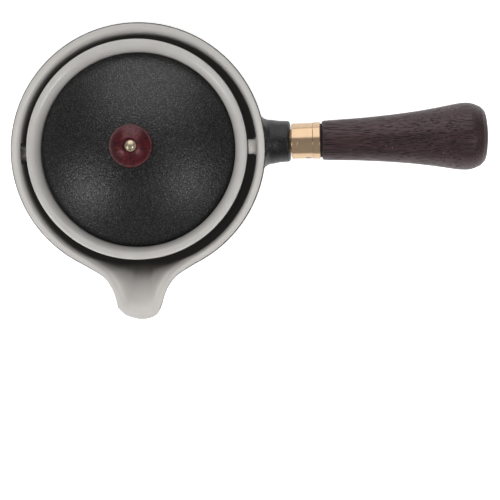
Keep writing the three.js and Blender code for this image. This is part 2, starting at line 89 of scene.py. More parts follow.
@dataclass(frozen=True)
class Plan:
    """Sizes that several pieces share, in millimetres, as in the solids."""

    axis_height: float = 64.0
    bowl_radius: float = 63.0
    bowl_wall: float = 4.6
    rim_rise: float = 5.0
    ball_radius: float = 54.6
    lid_radius: float = 47.5
    lid_edge_rise: float = 5.4
    dome_rise: float = 12.5
    handle_tilt: float = 6.0
    handle_swing: float = 0.43
    handle_side: float = 2.45
    neck_drop: float = 8.0

    @property
    def turning(self) -> Matrix:
        """Place of what is measured from the turning axis."""
        return Matrix.Translation((0, 0, self.axis_height))

    @property
    def lid(self) -> Matrix:
        """Place of what is measured from the top of the lid's edge."""
        return Matrix.Translation((0, 0, self.axis_height + self.lid_edge_rise))

    @property
    def handle(self) -> Matrix:
        """Place of what is turned about the handle's axis, measured from the bowl's side."""
        start = Matrix.Translation((self.bowl_radius, self.handle_side, self.axis_height - self.neck_drop))
        swing = Matrix.Rotation(math.radians(-self.handle_swing), 4, "Z")
        lean = Matrix.Rotation(math.radians(90 - self.handle_tilt), 4, "Y")
        return start @ swing @ lean


PLAN = Plan()


# Outlines


def arc(centre: Point, radius: float, start: float, end: float, steps: int) -> list[Point]:
    """Points of an arc in an outline.

    Args:
        centre: Radius and height of the arc's centre.
        radius: Radius of the arc.
        start: First angle in degrees, from the direction of growing radius.
        end: Last angle in degrees.
        steps: Number of steps between the first and the last point.

    Returns:
        The points, as radius and height.
    """
    angles = np.radians(np.linspace(start, end, steps + 1))
    return [(centre[0] + radius * math.cos(a), centre[1] + radius * math.sin(a)) for a in angles]


def rounded(corners: Sequence[Corner], steps: int = 6) -> list[Point]:
    """Rounds the corners of an outline.

    Args:
        corners: Radius, height and size of the round of each corner.
        steps: Number of steps of a round.

    Returns:
        The points of the outline.
    """
    points: list[Point] = []
    for index, (radius, height, size) in enumerate(corners):
        here = np.array((radius, height))
        if size <= 0:
            points.append((radius, height))
            continue
        before = np.array(corners[index - 1][:2]) - here
        after = np.array(corners[(index + 1) % len(corners)][:2]) - here
        long_before, long_after = np.linalg.norm(before), np.linalg.norm(after)
        before, after = before / long_before, after / long_after
        half = math.acos(float(np.clip(before @ after, -1, 1))) / 2
        reach = min(size / math.tan(half), 0.49 * long_before, 0.49 * long_after)
        middle = (before + after) / np.linalg.norm(before + after)
        centre = here + middle * reach / math.cos(half)
        first = here + before * reach - centre
        last = here + after * reach - centre
        turn = math.atan2(first[0] * last[1] - first[1] * last[0], float(first @ last))
        for share in np.linspace(0, 1, steps + 1):
            cos, sin = math.cos(turn * share), math.sin(turn * share)
            x = centre[0] + first[0] * cos - first[1] * sin
            y = centre[1] + first[0] * sin + first[1] * cos
            points.append((float(x), float(y)))
    return points


def bent(t: object, first: object, leave: object, last: object, reach: object) -> object:
    """Value at share t of a cubic from first to last that has these slopes at its ends.

    Args:
        t: Share of the way, from 0 to 1.
        first: Value at the start.
        leave: Slope at the start.
        last: Value at the end.
        reach: Slope at the end.

    Returns:
        The value.
    """
    return (
        (2 * t**3 - 3 * t**2 + 1) * first
        + (t**3 - 2 * t**2 + t) * leave
        + (3 * t**2 - 2 * t**3) * last
        + (t**3 - t**2) * reach
    )


def smooth_through(xs: Sequence[float], ys: Sequence[float], at: np.ndarray) -> np.ndarray:
    """Values of a smooth curve through a table, flat at both ends and without overshoot.

    Args:
        xs: Growing places of the table.
        ys: Its values.
        at: Places where the curve is wanted.

    Returns:
        The values there.
    """
    x, y = np.array(xs, float), np.array(ys, float)
    steps, rises = np.diff(x), np.diff(y)
    slopes = rises / steps
    tangents = np.zeros_like(x)
    same = slopes[:-1] * slopes[1:] > 0
    weights = 2 * slopes[:-1] * slopes[1:] / np.where(same, slopes[:-1] + slopes[1:], 1)
    tangents[1:-1] = np.where(same, weights, 0)
    place = np.clip(at, x[0], x[-1])
    cell = np.clip(np.searchsorted(x, place) - 1, 0, len(steps) - 1)
    t = (place - x[cell]) / steps[cell]
    leave = steps[cell] * tangents[cell]
    reach = steps[cell] * tangents[cell + 1]
    return bent(t, y[cell], leave, y[cell + 1], reach)


def through(points: Sequence[Point], steps: int) -> list[Point]:
    """A smooth outline through a few points.

    Args:
        points: Radius and height of the points.
        steps: Number of steps in all.

    Returns:
        The points of the outline.
    """
    given = np.array(points, float)
    along = np.concatenate(([0], np.cumsum(np.linalg.norm(np.diff(given, axis=0), axis=1))))
    ends = np.vstack((2 * given[0] - given[1], given, 2 * given[-1] - given[-2]))
    knots = np.concatenate(([2 * along[0] - along[1]], along, [2 * along[-1] - along[-2]]))
    result: list[Point] = []
    for place in np.linspace(0, along[-1], steps + 1):
        cell = int(np.clip(np.searchsorted(along, place) - 1, 0, len(given) - 2))
        a, b, c, d = ends[cell : cell + 4]
        ka, kb, kc, kd = knots[cell : cell + 4]
        t = (place - kb) / (kc - kb)
        span = kc - kb
        spot = bent(t, b, (c - a) / (kc - ka) * span, c, (d - b) / (kd - kb) * span)
        result.append((float(spot[0]), float(spot[1])))
    return result


# Modelling


def only(*objects: bpy.types.Object) -> None:
    """Selects these objects alone and makes the first one active."""
    bpy.ops.object.select_all(action="DESELECT")
    for item in objects:
        item.select_set(True)
    bpy.context.view_layer.objects.active = objects[0]


def corners_of(piece: bpy.types.Object) -> np.ndarray:
    """Reads the piece's vertices.

    Args:
        piece: The piece.

    Returns:
        Rows of x, y and z.
    """
    flat = np.empty(3 * len(piece.data.vertices), np.float32)
    piece.data.vertices.foreach_get("co", flat)
    return flat.reshape(-1, 3).astype(float)


def move_corners(piece: bpy.types.Object, places: np.ndarray) -> None:
    """Moves the piece's vertices to rows of x, y and z."""
    piece.data.vertices.foreach_set("co", places.astype(np.float32).ravel())
    piece.data.update()


def note(piece: bpy.types.Object, name: str, values: np.ndarray) -> None:
    """Keeps one number for each vertex, for the material to read."""
    attribute = piece.data.attributes.new(name, "FLOAT", "POINT")
    attribute.data.foreach_set("value", values.astype(np.float32))


def smooth(piece: bpy.types.Object, degrees: float) -> None:
    """Shades the piece's edges smooth up to this angle."""
    only(piece)
    bpy.ops.object.shade_smooth_by_angle(angle=math.radians(degrees))


def turned(name: str, outline: Sequence[Point], steps: int, sharp: float = 35) -> bpy.types.Object:
    """Turns an outline about Z into a piece.

    Args:
        name: Name of the piece.
        outline: Radius and height in millimetres. An end off the axis is joined to the start.
        steps: Number of steps of the turn.
        sharp: Angle in degrees up to which edges are shaded smooth.

    Returns:
        The piece, in millimetres about the turning line.
    """
    bpy.ops.object.select_all(action="DESELECT")
    bpy.ops.mesh.primitive_circle_add(vertices=len(outline), radius=1)
    piece = bpy.context.object
    piece.name = name
    piece.data.name = name
    bpy.ops.object.mode_set(mode="EDIT")
    shape = bmesh.from_edit_mesh(piece.data)
    shape.verts.ensure_lookup_table()
    for vertex, (radius, height) in zip(shape.verts, outline, strict=True):
        vertex.co = (max(radius, 0), 0, height)
    if outline[0][0] <= 0 and outline[-1][0] <= 0:
        closing = shape.edges.get((shape.verts[0], shape.verts[-1]))
        shape.edges.remove(closing)
    bmesh.update_edit_mesh(piece.data)
    bpy.ops.mesh.select_all(action="SELECT")
    bpy.ops.mesh.spin(steps=steps, angle=2 * math.pi, center=(0, 0, 0), axis=(0, 0, 1))
    bpy.ops.mesh.select_all(action="SELECT")
    bpy.ops.mesh.remove_doubles(threshold=1e-4)
    bpy.ops.mesh.normals_make_consistent(inside=False)
    bpy.ops.object.mode_set(mode="OBJECT")
    smooth(piece, sharp)
    return piece


def apply_modifier(piece: bpy.types.Object, kind: str, **settings: object) -> None:
    """Adds a modifier to the piece and applies it.

    Args:
        piece: The piece.
        kind: Type of the modifier.
        settings: Its settings.
    """
    only(piece)
    modifier = piece.modifiers.new(kind.title(), kind)
    for key, value in settings.items():
        setattr(modifier, key, value)
    bpy.ops.object.modifier_apply(modifier=modifier.name)


def cut(piece: bpy.types.Object, cutter: bpy.types.Object) -> None:
    """Cuts the cutter's shape out of the piece and deletes the cutter."""
    apply_modifier(piece, "BOOLEAN", operation="DIFFERENCE", solver="EXACT", object=cutter)
    bpy.data.objects.remove(cutter, do_unlink=True)


def joined(name: str, pieces: Sequence[bpy.types.Object]) -> bpy.types.Object:
    """Joins pieces into the first one and names it.

    Args:
        name: Name of the joined piece.
        pieces: The pieces.

    Returns:
        The joined piece.
    """
    only(*pieces)
    bpy.ops.object.join()
    pieces[0].name = name
    pieces[0].data.name = name
    return pieces[0]


def rod_between(start: Vector, end: Vector, radius: float, sides: int) -> bpy.types.Object:
    """A plain cutter or core rod between two points, in millimetres.

    Args:
        start: One end.
        end: The other end.
        radius: Its radius.
        sides: Its number of sides.

    Returns:
        The rod.
    """
    bpy.ops.object.select_all(action="DESELECT")
    way = end - start
    bpy.ops.mesh.primitive_cylinder_add(vertices=sides, radius=radius, depth=way.length)
    rod = bpy.context.object
    turn = Vector((0, 0, 1)).rotation_difference(way).to_matrix().to_4x4()
    rod.data.transform(Matrix.Translation((start + end) / 2) @ turn)
    return rod


def ring_of(piece: bpy.types.Object, count: int) -> bpy.types.Object:
    """Repeats a piece round the Z axis into a ring.

    Args:
        piece: The piece, modelled at its first place.
        count: Number of pieces in the ring.

    Returns:
        The ring as one piece.
    """
    bpy.ops.object.empty_add(rotation=(0, 0, 2 * math.pi / count))
    hub = bpy.context.object
    bpy.context.view_layer.update()
    settings = {"count": count, "use_relative_offset": False, "use_object_offset": True}
    apply_modifier(piece, "ARRAY", **settings, offset_object=hub)
    bpy.data.objects.remove(hub, do_unlink=True)
    return piece


def place(piece: bpy.types.Object, where: Matrix, body: Body, slot: str, node: str) -> None:
    """Puts a piece modelled in millimetres in its place and hides the solid that it stands for.

    Args:
        piece: The piece.
        where: Its place, in millimetres.
        body: The body that it rides on.
        slot: The record's material slot; not used.
        node: The solid that it stands for.
    """
    piece.data.transform(Matrix.Scale(MM, 4) @ where)
    piece.data.update()
    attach(piece, body.value)
    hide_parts(node)
    LOG.info("%s: %d faces", piece.name, len(piece.data.polygons))


# Materials


def math_node(operation: str) -> Callable[..., "Wire"]:
    """Makes a method of a wire that adds one Math node over the wire and a value.

    Args:
        operation: What the node does.

    Returns:
        The method.
    """

    def method(wire: "Wire", other: "Wire | float") -> "Wire":
        """Adds the node."""
        return wire.shader.node("ShaderNodeMath", {"operation": operation}, {0: wire, 1: other})

    return method


class Wire:
    """A node's output. Arithmetic on it adds Math nodes."""

    __add__ = __radd__ = math_node("ADD")
    __sub__ = math_node("SUBTRACT")
    __mul__ = __rmul__ = math_node("MULTIPLY")
    __truediv__ = math_node("DIVIDE")
    __pow__ = math_node("POWER")
    most = math_node("MAXIMUM")

    def __init__(self, shader: "Shader", socket: bpy.types.NodeSocket) -> None:
        """Keeps the shader and the socket."""
        self.shader = shader
        self.socket = socket

    def step(self, start: float, end: float) -> "Wire":
        """Goes smoothly from 0 at start to 1 at end; start may be the larger.

        Args:
            start: Value that gives 0.
            end: Value that gives 1.

        Returns:
            The share between them.
        """
        low, high, first, last = (start, end, 0.0, 1.0) if start < end else (end, start, 1.0, 0.0)
        inputs = {0: self, 1: low, 2: high, 3: first, 4: last}
        return self.shader.node("ShaderNodeMapRange", {"interpolation_type": "SMOOTHSTEP"}, inputs)


class Shader:
    """A node material under construction."""

    def __init__(self, name: str) -> None:
        """Starts a material with one surface shader.

        Args:
            name: Name of the material.
        """
        self.material = bpy.data.materials.new(name)
        self.material.use_nodes = True
        self.tree = self.material.node_tree
        self.tree.nodes.clear()
        self.surface = self.tree.nodes.new("ShaderNodeBsdfPrincipled")
        output = self.tree.nodes.new("ShaderNodeOutputMaterial")
        self.tree.links.new(self.surface.outputs[0], output.inputs["Surface"])
        self.places = self.node("ShaderNodeTexCoord", {}, {}, "Object")

    def node(
        self,
        kind: str,
        settings: Mapping[str, object],
        inputs: Mapping[int | str, object],
        output: int | str = 0,
    ) -> Wire:
        """Adds a node.

        Args:
            kind: Type of the node.
            settings: Its properties, set first.
            inputs: Values or wires for its sockets, by name or number.
            output: The output that is wanted.

        Returns:
            That output.
        """
        added = self.tree.nodes.new(kind)
        for key, value in settings.items():
            setattr(added, key, value)
        for key, value in inputs.items():
            self.feed(added.inputs[key], value)
        return Wire(self, added.outputs[output])

    def feed(self, socket: bpy.types.NodeSocket, value: object) -> None:
        """Links a wire to a socket, or sets a number or colour on it.

        Args:
            socket: Input of a node.
            value: A wire, a number or a colour.
        """
        if isinstance(value, Wire):
            self.tree.links.new(value.socket, socket)
        elif isinstance(value, tuple) and len(value) == 3 and socket.type == "RGBA":
            socket.default_value = (*value, 1)
        else:
            socket.default_value = value

    def part(self, name: str) -> Wire:
        """One coordinate of the place in millimetres: X, Y or Z."""
        return self.node("ShaderNodeSeparateXYZ", {}, {0: self.places}, name) * (1 / MM)

    def moved(self, where: Matrix, stretch: Colour) -> Wire:
        """Places seen from a frame, stretched along its axes.

        Args:
            where: The frame, in millimetres.
            stretch: Factors along its axes, for places in millimetres.

        Returns:
            The places.
        """
        turn = where.to_3x3().inverted().to_euler()
        shift = where.to_3x3().inverted() @ where.translation * -MM
        seen = self.node(
            "ShaderNodeMapping",
            {"vector_type": "POINT"},
            {"Vector": self.places, "Rotation": turn, "Location": shift},
        )
        factors = tuple(factor / MM for factor in stretch)
        return self.node("ShaderNodeVectorMath", {"operation": "MULTIPLY"}, {0: seen, 1: factors})

    def noise(self, size: float, detail: float = 2, where: Wire | None = None, rough: float = 0.5) -> Wire:
        """Cloudy noise from 0 to 1.

        Args:
            size: Size of its blotches in millimetres, or 1 where the places are stretched.
            detail: Number of finer octaves.
            where: Places, if not the piece's own.
            rough: Strength of the finer octaves.

        Returns:
            The noise.
        """
        scale = 1 / size if where else 1 / (size * MM)
        inputs = {"Vector": where or self.places, "Scale": scale, "Detail": detail, "Roughness": rough}
        return self.node("ShaderNodeTexNoise", {}, inputs)

    def stretched(self, frame: Matrix, stretch: Colour, detail: float, rough: float = 0.5) -> Wire:
        """Noise seen from a frame, with so many features to a millimetre along its axes."""
        return self.noise(1, detail, self.moved(frame, stretch), rough)

    def dots(self, size: float, radius: float, share: float) -> Wire:
        """Scattered small dots, 1 in a dot.

        Args:
            size: Distance between places for dots, in millimetres.
            radius: Radius of a dot, as a share of that distance.
            share: Share of the places that hold a dot.

        Returns:
            The mask.
        """
        inputs = {"Vector": self.places, "Scale": 1 / (size * MM)}
        spots = self.node("ShaderNodeTexVoronoi", {}, inputs, "Distance")
        colour = Wire(self, spots.socket.node.outputs["Color"])
        chosen = self.node("ShaderNodeSeparateColor", {}, {0: colour})
        return spots.step(radius, 0.4 * radius) * chosen.step(1 - share, 1.001 - share)

    def blend(self, mask: Wire | float, first: object, second: object) -> Wire:
        """Colour that goes from the first to the second with the mask."""
        return self.node("ShaderNodeMix", {"data_type": "RGBA"}, {0: mask, 6: first, 7: second}, 2)

    def fade(self, mask: Wire | float, first: Wire | float, second: Wire | float) -> Wire:
        """Number that goes from the first to the second with the mask."""
        return self.node("ShaderNodeMix", {"data_type": "FLOAT"}, {0: mask, 2: first, 3: second})

    def attribute(self, name: str) -> Wire:
        """A number kept for each vertex."""
        return self.node("ShaderNodeAttribute", {"attribute_name": name}, {}, "Fac")

    def wobble(self, size: float, reach: float) -> Wire:
        """Noise about zero, for the wavy edge of a glaze."""
        return (self.noise(size, 3) - 0.5) * reach

    def cover(self, layer: "Layer") -> None:
        """Feeds a layer's colour, roughness and metal to the surface.

        Args:
            layer: The layer.
        """
        values = {"Base Color": layer.colour, "Roughness": layer.roughness, "Metallic": layer.metal}
        for name, value in values.items():
            self.feed(self.surface.inputs[name], value)


@dataclass
class Layer:
    """What a finish gives the surface: colour, roughness, height in millimetres and metal."""

    colour: Wire
    roughness: Wire | float
    height: Wire | float = 0.0
    metal: Wire | float = 0.0

    def under(self, shader: Shader, other: "Layer", mask: Wire) -> "Layer":
        """This layer with the other one over it where the mask is 1.

        Args:
            shader: Shader that both belong to.
            other: The layer on top.
            mask: Where it covers this one, from 0 to 1.

        Returns:
            The two as one layer.
        """
        return Layer(
            shader.blend(mask, self.colour, other.colour),
            shader.fade(mask, self.roughness, other.roughness),
            shader.fade(mask, self.height, other.height),
            shader.fade(mask, self.metal, other.metal),
        )


def dress(piece: bpy.types.Object, shader: Shader, layer: Layer, **surface: object) -> None:
    """Gives the piece a material made of a layer.

    Args:
        piece: The piece.
        shader: The material under construction.
        layer: Its colour, roughness, height and metal.
        surface: Fixed values for sockets of the surface shader, with underscores for spaces.
    """
    shader.cover(layer)
    if isinstance(layer.height, Wire):
        bump = shader.node("ShaderNodeBump", {}, {"Height": layer.height, "Strength": 1.0, "Distance": MM})
        shader.feed(shader.surface.inputs["Normal"], bump)
    for key, value in surface.items():
        shader.surface.inputs[key.replace("_", " ")].default_value = value
    piece.data.materials.clear()
    piece.data.materials.append(shader.material)


def dress_node(node: bpy.types.Object, shader: Shader, layer: Layer) -> None:
    """Gives a solid that stays a material of its own, on its object.

    Args:
        node: The solid.
        shader: The shader of its material.
        layer: The finish as a layer of that shader.
    """
    shader.cover(layer)
    for slot in node.material_slots:
        slot.link = "OBJECT"
        slot.material = shader.material


@dataclass(frozen=True)
class SandGlaze:
    """Matt black glaze with the grain of fine sand, a few light flecks and small bright glints."""

    dark: Colour = (0.003, 0.003, 0.0032)
    light: Colour = (0.010, 0.010, 0.0107)
    fleck: Colour = (0.11, 0.11, 0.11)
    roughness: float = 0.36
    grain: float = 0.75
    depth: float = 0.11
    fleck_share: float = 0.3
    glint: Colour = (0.12, 0.12, 0.12)
    glint_size: float = 0.62
    glint_share: float = 0.0

    def layer(self, shader: Shader) -> Layer:
        """The glaze as a layer of the shader.

        Args:
            shader: The shader.

        Returns:
            The layer.
        """
        coarse = shader.noise(self.grain, 1)
        fine = shader.noise(self.grain / 2.6, 1)
        flecks = shader.dots(0.85 * self.grain, 0.30, self.fleck_share)
        base = shader.blend(coarse.step(0.46, 0.68), self.dark, self.light)
        height = coarse * self.depth + fine * (0.3 * self.depth) + flecks * (0.25 * self.depth)
        rough = fine * 0.2 + (self.roughness - 0.1)
        colour = shader.blend(flecks * 0.75, base, self.fleck)
        if self.glint_share == 0:
            return Layer(colour, rough, height)
        glints = shader.dots(self.glint_size, 0.45, self.glint_share)
        return Layer(shader.blend(glints, colour, self.glint), rough, height, glints * 0.9)


@dataclass(frozen=True)
class SatinGlaze:
    """Smooth glaze, with clouds in its colour, pin holes and a slightly wavy face."""

    colour: Colour
    cloud: Colour
    roughness: float = 0.3
    waviness: float = 0.05
    speck: Colour = (0.2, 0.17, 0.14)
    speck_share: float = 0.06

    def layer(self, shader: Shader) -> Layer:
        """The glaze as a layer of the shader.

        Args:
            shader: The shader.

        Returns:
            The layer.
        """
        clouds = shader.noise(9, 3)
        wave = shader.noise(5, 1)
        grain = shader.noise(0.6, 2)
        specks = shader.dots(2.2, 0.09, self.speck_share)
        base = shader.blend(clouds.step(0.3, 0.7), self.colour, self.cloud)
        height = wave * self.waviness + grain * 0.006 - specks * 0.04
        rough = clouds * 0.1 + grain * 0.06 + (self.roughness - 0.08)
        return Layer(shader.blend(specks * 0.6, base, self.speck), rough, height)


@dataclass(frozen=True)
class BareClay:
    """Unglazed clay, dry and finely pitted."""

    colour: Colour = (0.60, 0.56, 0.52)
    stain: Colour = (0.42, 0.36, 0.31)

    def layer(self, shader: Shader) -> Layer:
        """The clay as a layer of the shader.

        Args:
            shader: The shader.

        Returns:
            The layer.
        """
        clouds = shader.noise(3.5, 4)
        grain = shader.noise(0.4, 3)
        pits = shader.dots(1.3, 0.16, 0.3)
        base = shader.blend(clouds.step(0.45, 0.8) * 0.6, self.colour, self.stain)
        colour = shader.blend(pits * 0.5, base, self.stain)
        return Layer(colour, 0.8 + grain * 0.1, grain * 0.05 - pits * 0.08)


@dataclass(frozen=True)
class Wood:
    """Wood with its grain along a frame's Z. Lengths in millimetres, shares from 0 to 1."""

    light: Colour
    dark: Colour
    pore: Colour
    roughness: float
    frame: Matrix
    pale: Colour = (0.16, 0.11, 0.11)
    pale_share: float = 0.5
    fleck_share: float = 0.0
    grain: float = 1.1
    length: float = 30.0
    pore_depth: float = 0.05
    pore_dull: float = 0.33
    fleck: Colour = (0.34, 0.22, 0.16)

    def layer(self, shader: Shader) -> Layer:
        """The wood as a layer of the shader, its grain along the frame's Z.

        Args:
            shader: The shader.

        Returns:
            The layer.
        """
        across, along = 1 / self.grain, 1 / self.length
        streaks = shader.stretched(self.frame, (across, across, along), 4, 0.62)
        bands = shader.stretched(self.frame, (0.22 * across, 0.13 * across, 0.4 * along), 2)
        dashes = shader.stretched(self.frame, (1.9 * across, 1.9 * across, 0.6 * along), 1)
        lines = shader.stretched(self.frame, (1.7 * across, 1.7 * across, 1.6 * along), 1)
        pores = dashes.step(0.48, 0.36)
        mix = (streaks * 0.65 + bands * 0.35).step(0.36, 0.66)
        colour = shader.blend(mix, self.dark, self.light)
        colour = shader.blend(lines.step(0.52, 0.74) * self.pale_share, colour, self.pale)
        colour = shader.blend(pores * 0.8, colour, self.pore)
        if self.fleck_share > 0:
            colour = shader.blend(shader.dots(1.5, 0.2, self.fleck_share) * 0.8, colour, self.fleck)
        height = streaks * (0.5 * self.pore_depth) - pores * self.pore_depth
        return Layer(colour, self.roughness + streaks * 0.14 + pores * 0.15, height, pores * self.pore_dull)


@dataclass(frozen=True)
class TurnedMetal:
    """Metal with fine turning lines round an axis, light scratches and a little tarnish."""

    colour: Colour
    tarnish: Colour
    roughness: float
    frame: Matrix
    line_depth: float = 0.006
    metal: float = 1.0

    def layer(self, shader: Shader) -> Layer:
        """The metal as a layer of the shader, its lines round the frame's Z.

        Args:
            shader: The shader.

        Returns:
            The layer.
        """
        lines = shader.stretched(self.frame, (0.05, 0.05, 5.5), 3, 0.7)
        clouds = shader.noise(4, 3)
        scratches = shader.stretched(self.frame, (0.9, 0.15, 9), 1)
        colour = shader.blend(clouds.step(0.45, 0.85) * 0.55, self.colour, self.tarnish)
        rough = self.roughness + lines * 0.12 + clouds * 0.08 - 0.08
        height = lines * self.line_depth + scratches.step(0.3, 0.22) * -0.01
        return Layer(colour, rough, height, self.metal)


@dataclass(frozen=True)
class SoftRubber:
    """Rubber or silicone with a dull moulded face."""

    colour: Colour
    dust: Colour
    roughness: float = 0.55

    def layer(self, shader: Shader) -> Layer:
        """The rubber as a layer of the shader.

        Args:
            shader: The shader.

        Returns:
            The layer.
        """
        clouds = shader.noise(2.5, 3)
        grain = shader.noise(0.25, 2)
        colour = shader.blend(clouds.step(0.4, 0.8) * 0.5, self.colour, self.dust)
        return Layer(colour, self.roughness + clouds * 0.15, grain * 0.012)


CREAM = SatinGlaze((0.542, 0.521, 0.497), (0.572, 0.556, 0.534), 0.16)
# Cream inside the bowl, in its channel and on the pins, drawn lighter than the rim's cream: painted light
# against the shade there.
INNER_CREAM_PAINTED_LIGHT = (0.740, 0.710, 0.676)
# Darker cream near the glaze's edge inside: partly thinner glaze, partly painted shade.
THIN_CREAM_AND_SHADE = (0.40, 0.335, 0.295)
CREAM_EDGE = (0.10, 0.085, 0.07)
BLACK_SATIN = SatinGlaze((0.023, 0.022, 0.021), (0.031, 0.029, 0.027), 0.34, speck=(0.05, 0.045, 0.04))
# The black glaze inside the outer bowl, drawn darker than the same glaze on the ball: painted shade of the
# gap.
INNER_BLACK_PAINTED_SHADE = SatinGlaze((0.013, 0.012, 0.011), (0.019, 0.017, 0.015), 0.36, speck=(0.04, 0.035, 0.03))
INNER_BROWN = (0.038, 0.030, 0.025)
# Faint glow of the bowl's inside: painted light that lifts its shade.
INNER_PAINTED_GLOW = (0.0115, 0.0106, 0.0098)
RUST_DARK = (0.07, 0.035, 0.018)
RUST_LIGHT = (0.20, 0.115, 0.065)
SAND = SandGlaze()
FINE_SAND = SandGlaze(roughness=0.5, grain=0.5, depth=0.03, fleck_share=0.12, fleck=(0.06, 0.06, 0.06))
# Coarser sand glaze for the bowl's outside: its grain is real, and its colour, lighter than the neck's, is a
# painted sheen.
COARSE_SAND_PAINTED_SHEEN = SandGlaze(
    dark=(0.009, 0.009, 0.0094),
    light=(0.062, 0.062, 0.064),
    roughness=0.48,
    grain=0.62,
    depth=0.12,
    fleck_share=0.35,
    glint=(0.16, 0.16, 0.16),
    glint_size=0.7,
    glint_share=0.35,
)
LID_GRAIN = SandGlaze(
    dark=(0.0068, 0.0068, 0.0070),
    light=(0.013, 0.013, 0.0133),
    roughness=0.29,
    grain=0.95,
    depth=0.19,
    fleck_share=0.03,
    glint=(0.135, 0.135, 0.135),
    glint_size=0.5,
    glint_share=0.7,
)
BRASS = TurnedMetal((0.60, 0.43, 0.275), (0.53, 0.36, 0.22), 0.17, PLAN.handle, metal=0.8)
PALE_BRASS = TurnedMetal((0.55, 0.46, 0.33), (0.42, 0.34, 0.23), 0.32, PLAN.lid)
STEEL = TurnedMetal((0.66, 0.66, 0.67), (0.50, 0.50, 0.51), 0.3, PLAN.turning)
ROD_STEEL = TurnedMetal((0.58, 0.58, 0.60), (0.42, 0.42, 0.44), 0.35, PLAN.handle)
SILICONE = SoftRubber((0.62, 0.61, 0.58), (0.70, 0.69, 0.66))
DARK_RUBBER = SoftRubber((0.012, 0.010, 0.010), (0.03, 0.027, 0.026), 0.6)
DARK_WOOD = Wood(
    (0.037, 0.0155, 0.017),
    (0.009, 0.004, 0.0045),
    (0.003, 0.0015, 0.002),
    0.34,
    PLAN.handle,
    pale=(0.085, 0.048, 0.050),
    fleck_share=0.05,
    grain=0.62,
    length=32,
    pore_depth=0.07,
    pore_dull=0.5,
)
ROSEWOOD = Wood(
    (0.082, 0.0030, 0.0050),
    (0.022, 0.0014, 0.0028),
    (0.005, 0.0007, 0.0015),
    0.22,
    PLAN.lid @ Matrix.Rotation(math.radians(38), 4, "Z") @ Matrix.Rotation(math.radians(90), 4, "Y"),
    pale=(0.12, 0.010, 0.016),
    pale_share=0.35,
    grain=0.9,
    length=14,
    pore_depth=0.02,
    pore_dull=0.4,
)


Finish = SandGlaze | SatinGlaze | Wood | TurnedMetal | SoftRubber


def finished(piece: bpy.types.Object, material: str, finish: Finish, **surface: object) -> bpy.types.Object:
    """Dresses a piece in one finish all over.

    Args:
        piece: The piece.
        material: Name of its material.
        finish: Its finish.
        surface: Fixed values for sockets of the surface shader.

    Returns:
        The piece.
    """
    shader = Shader(material)
    dress(piece, shader, finish.layer(shader), **surface)
    return piece


# Pieces


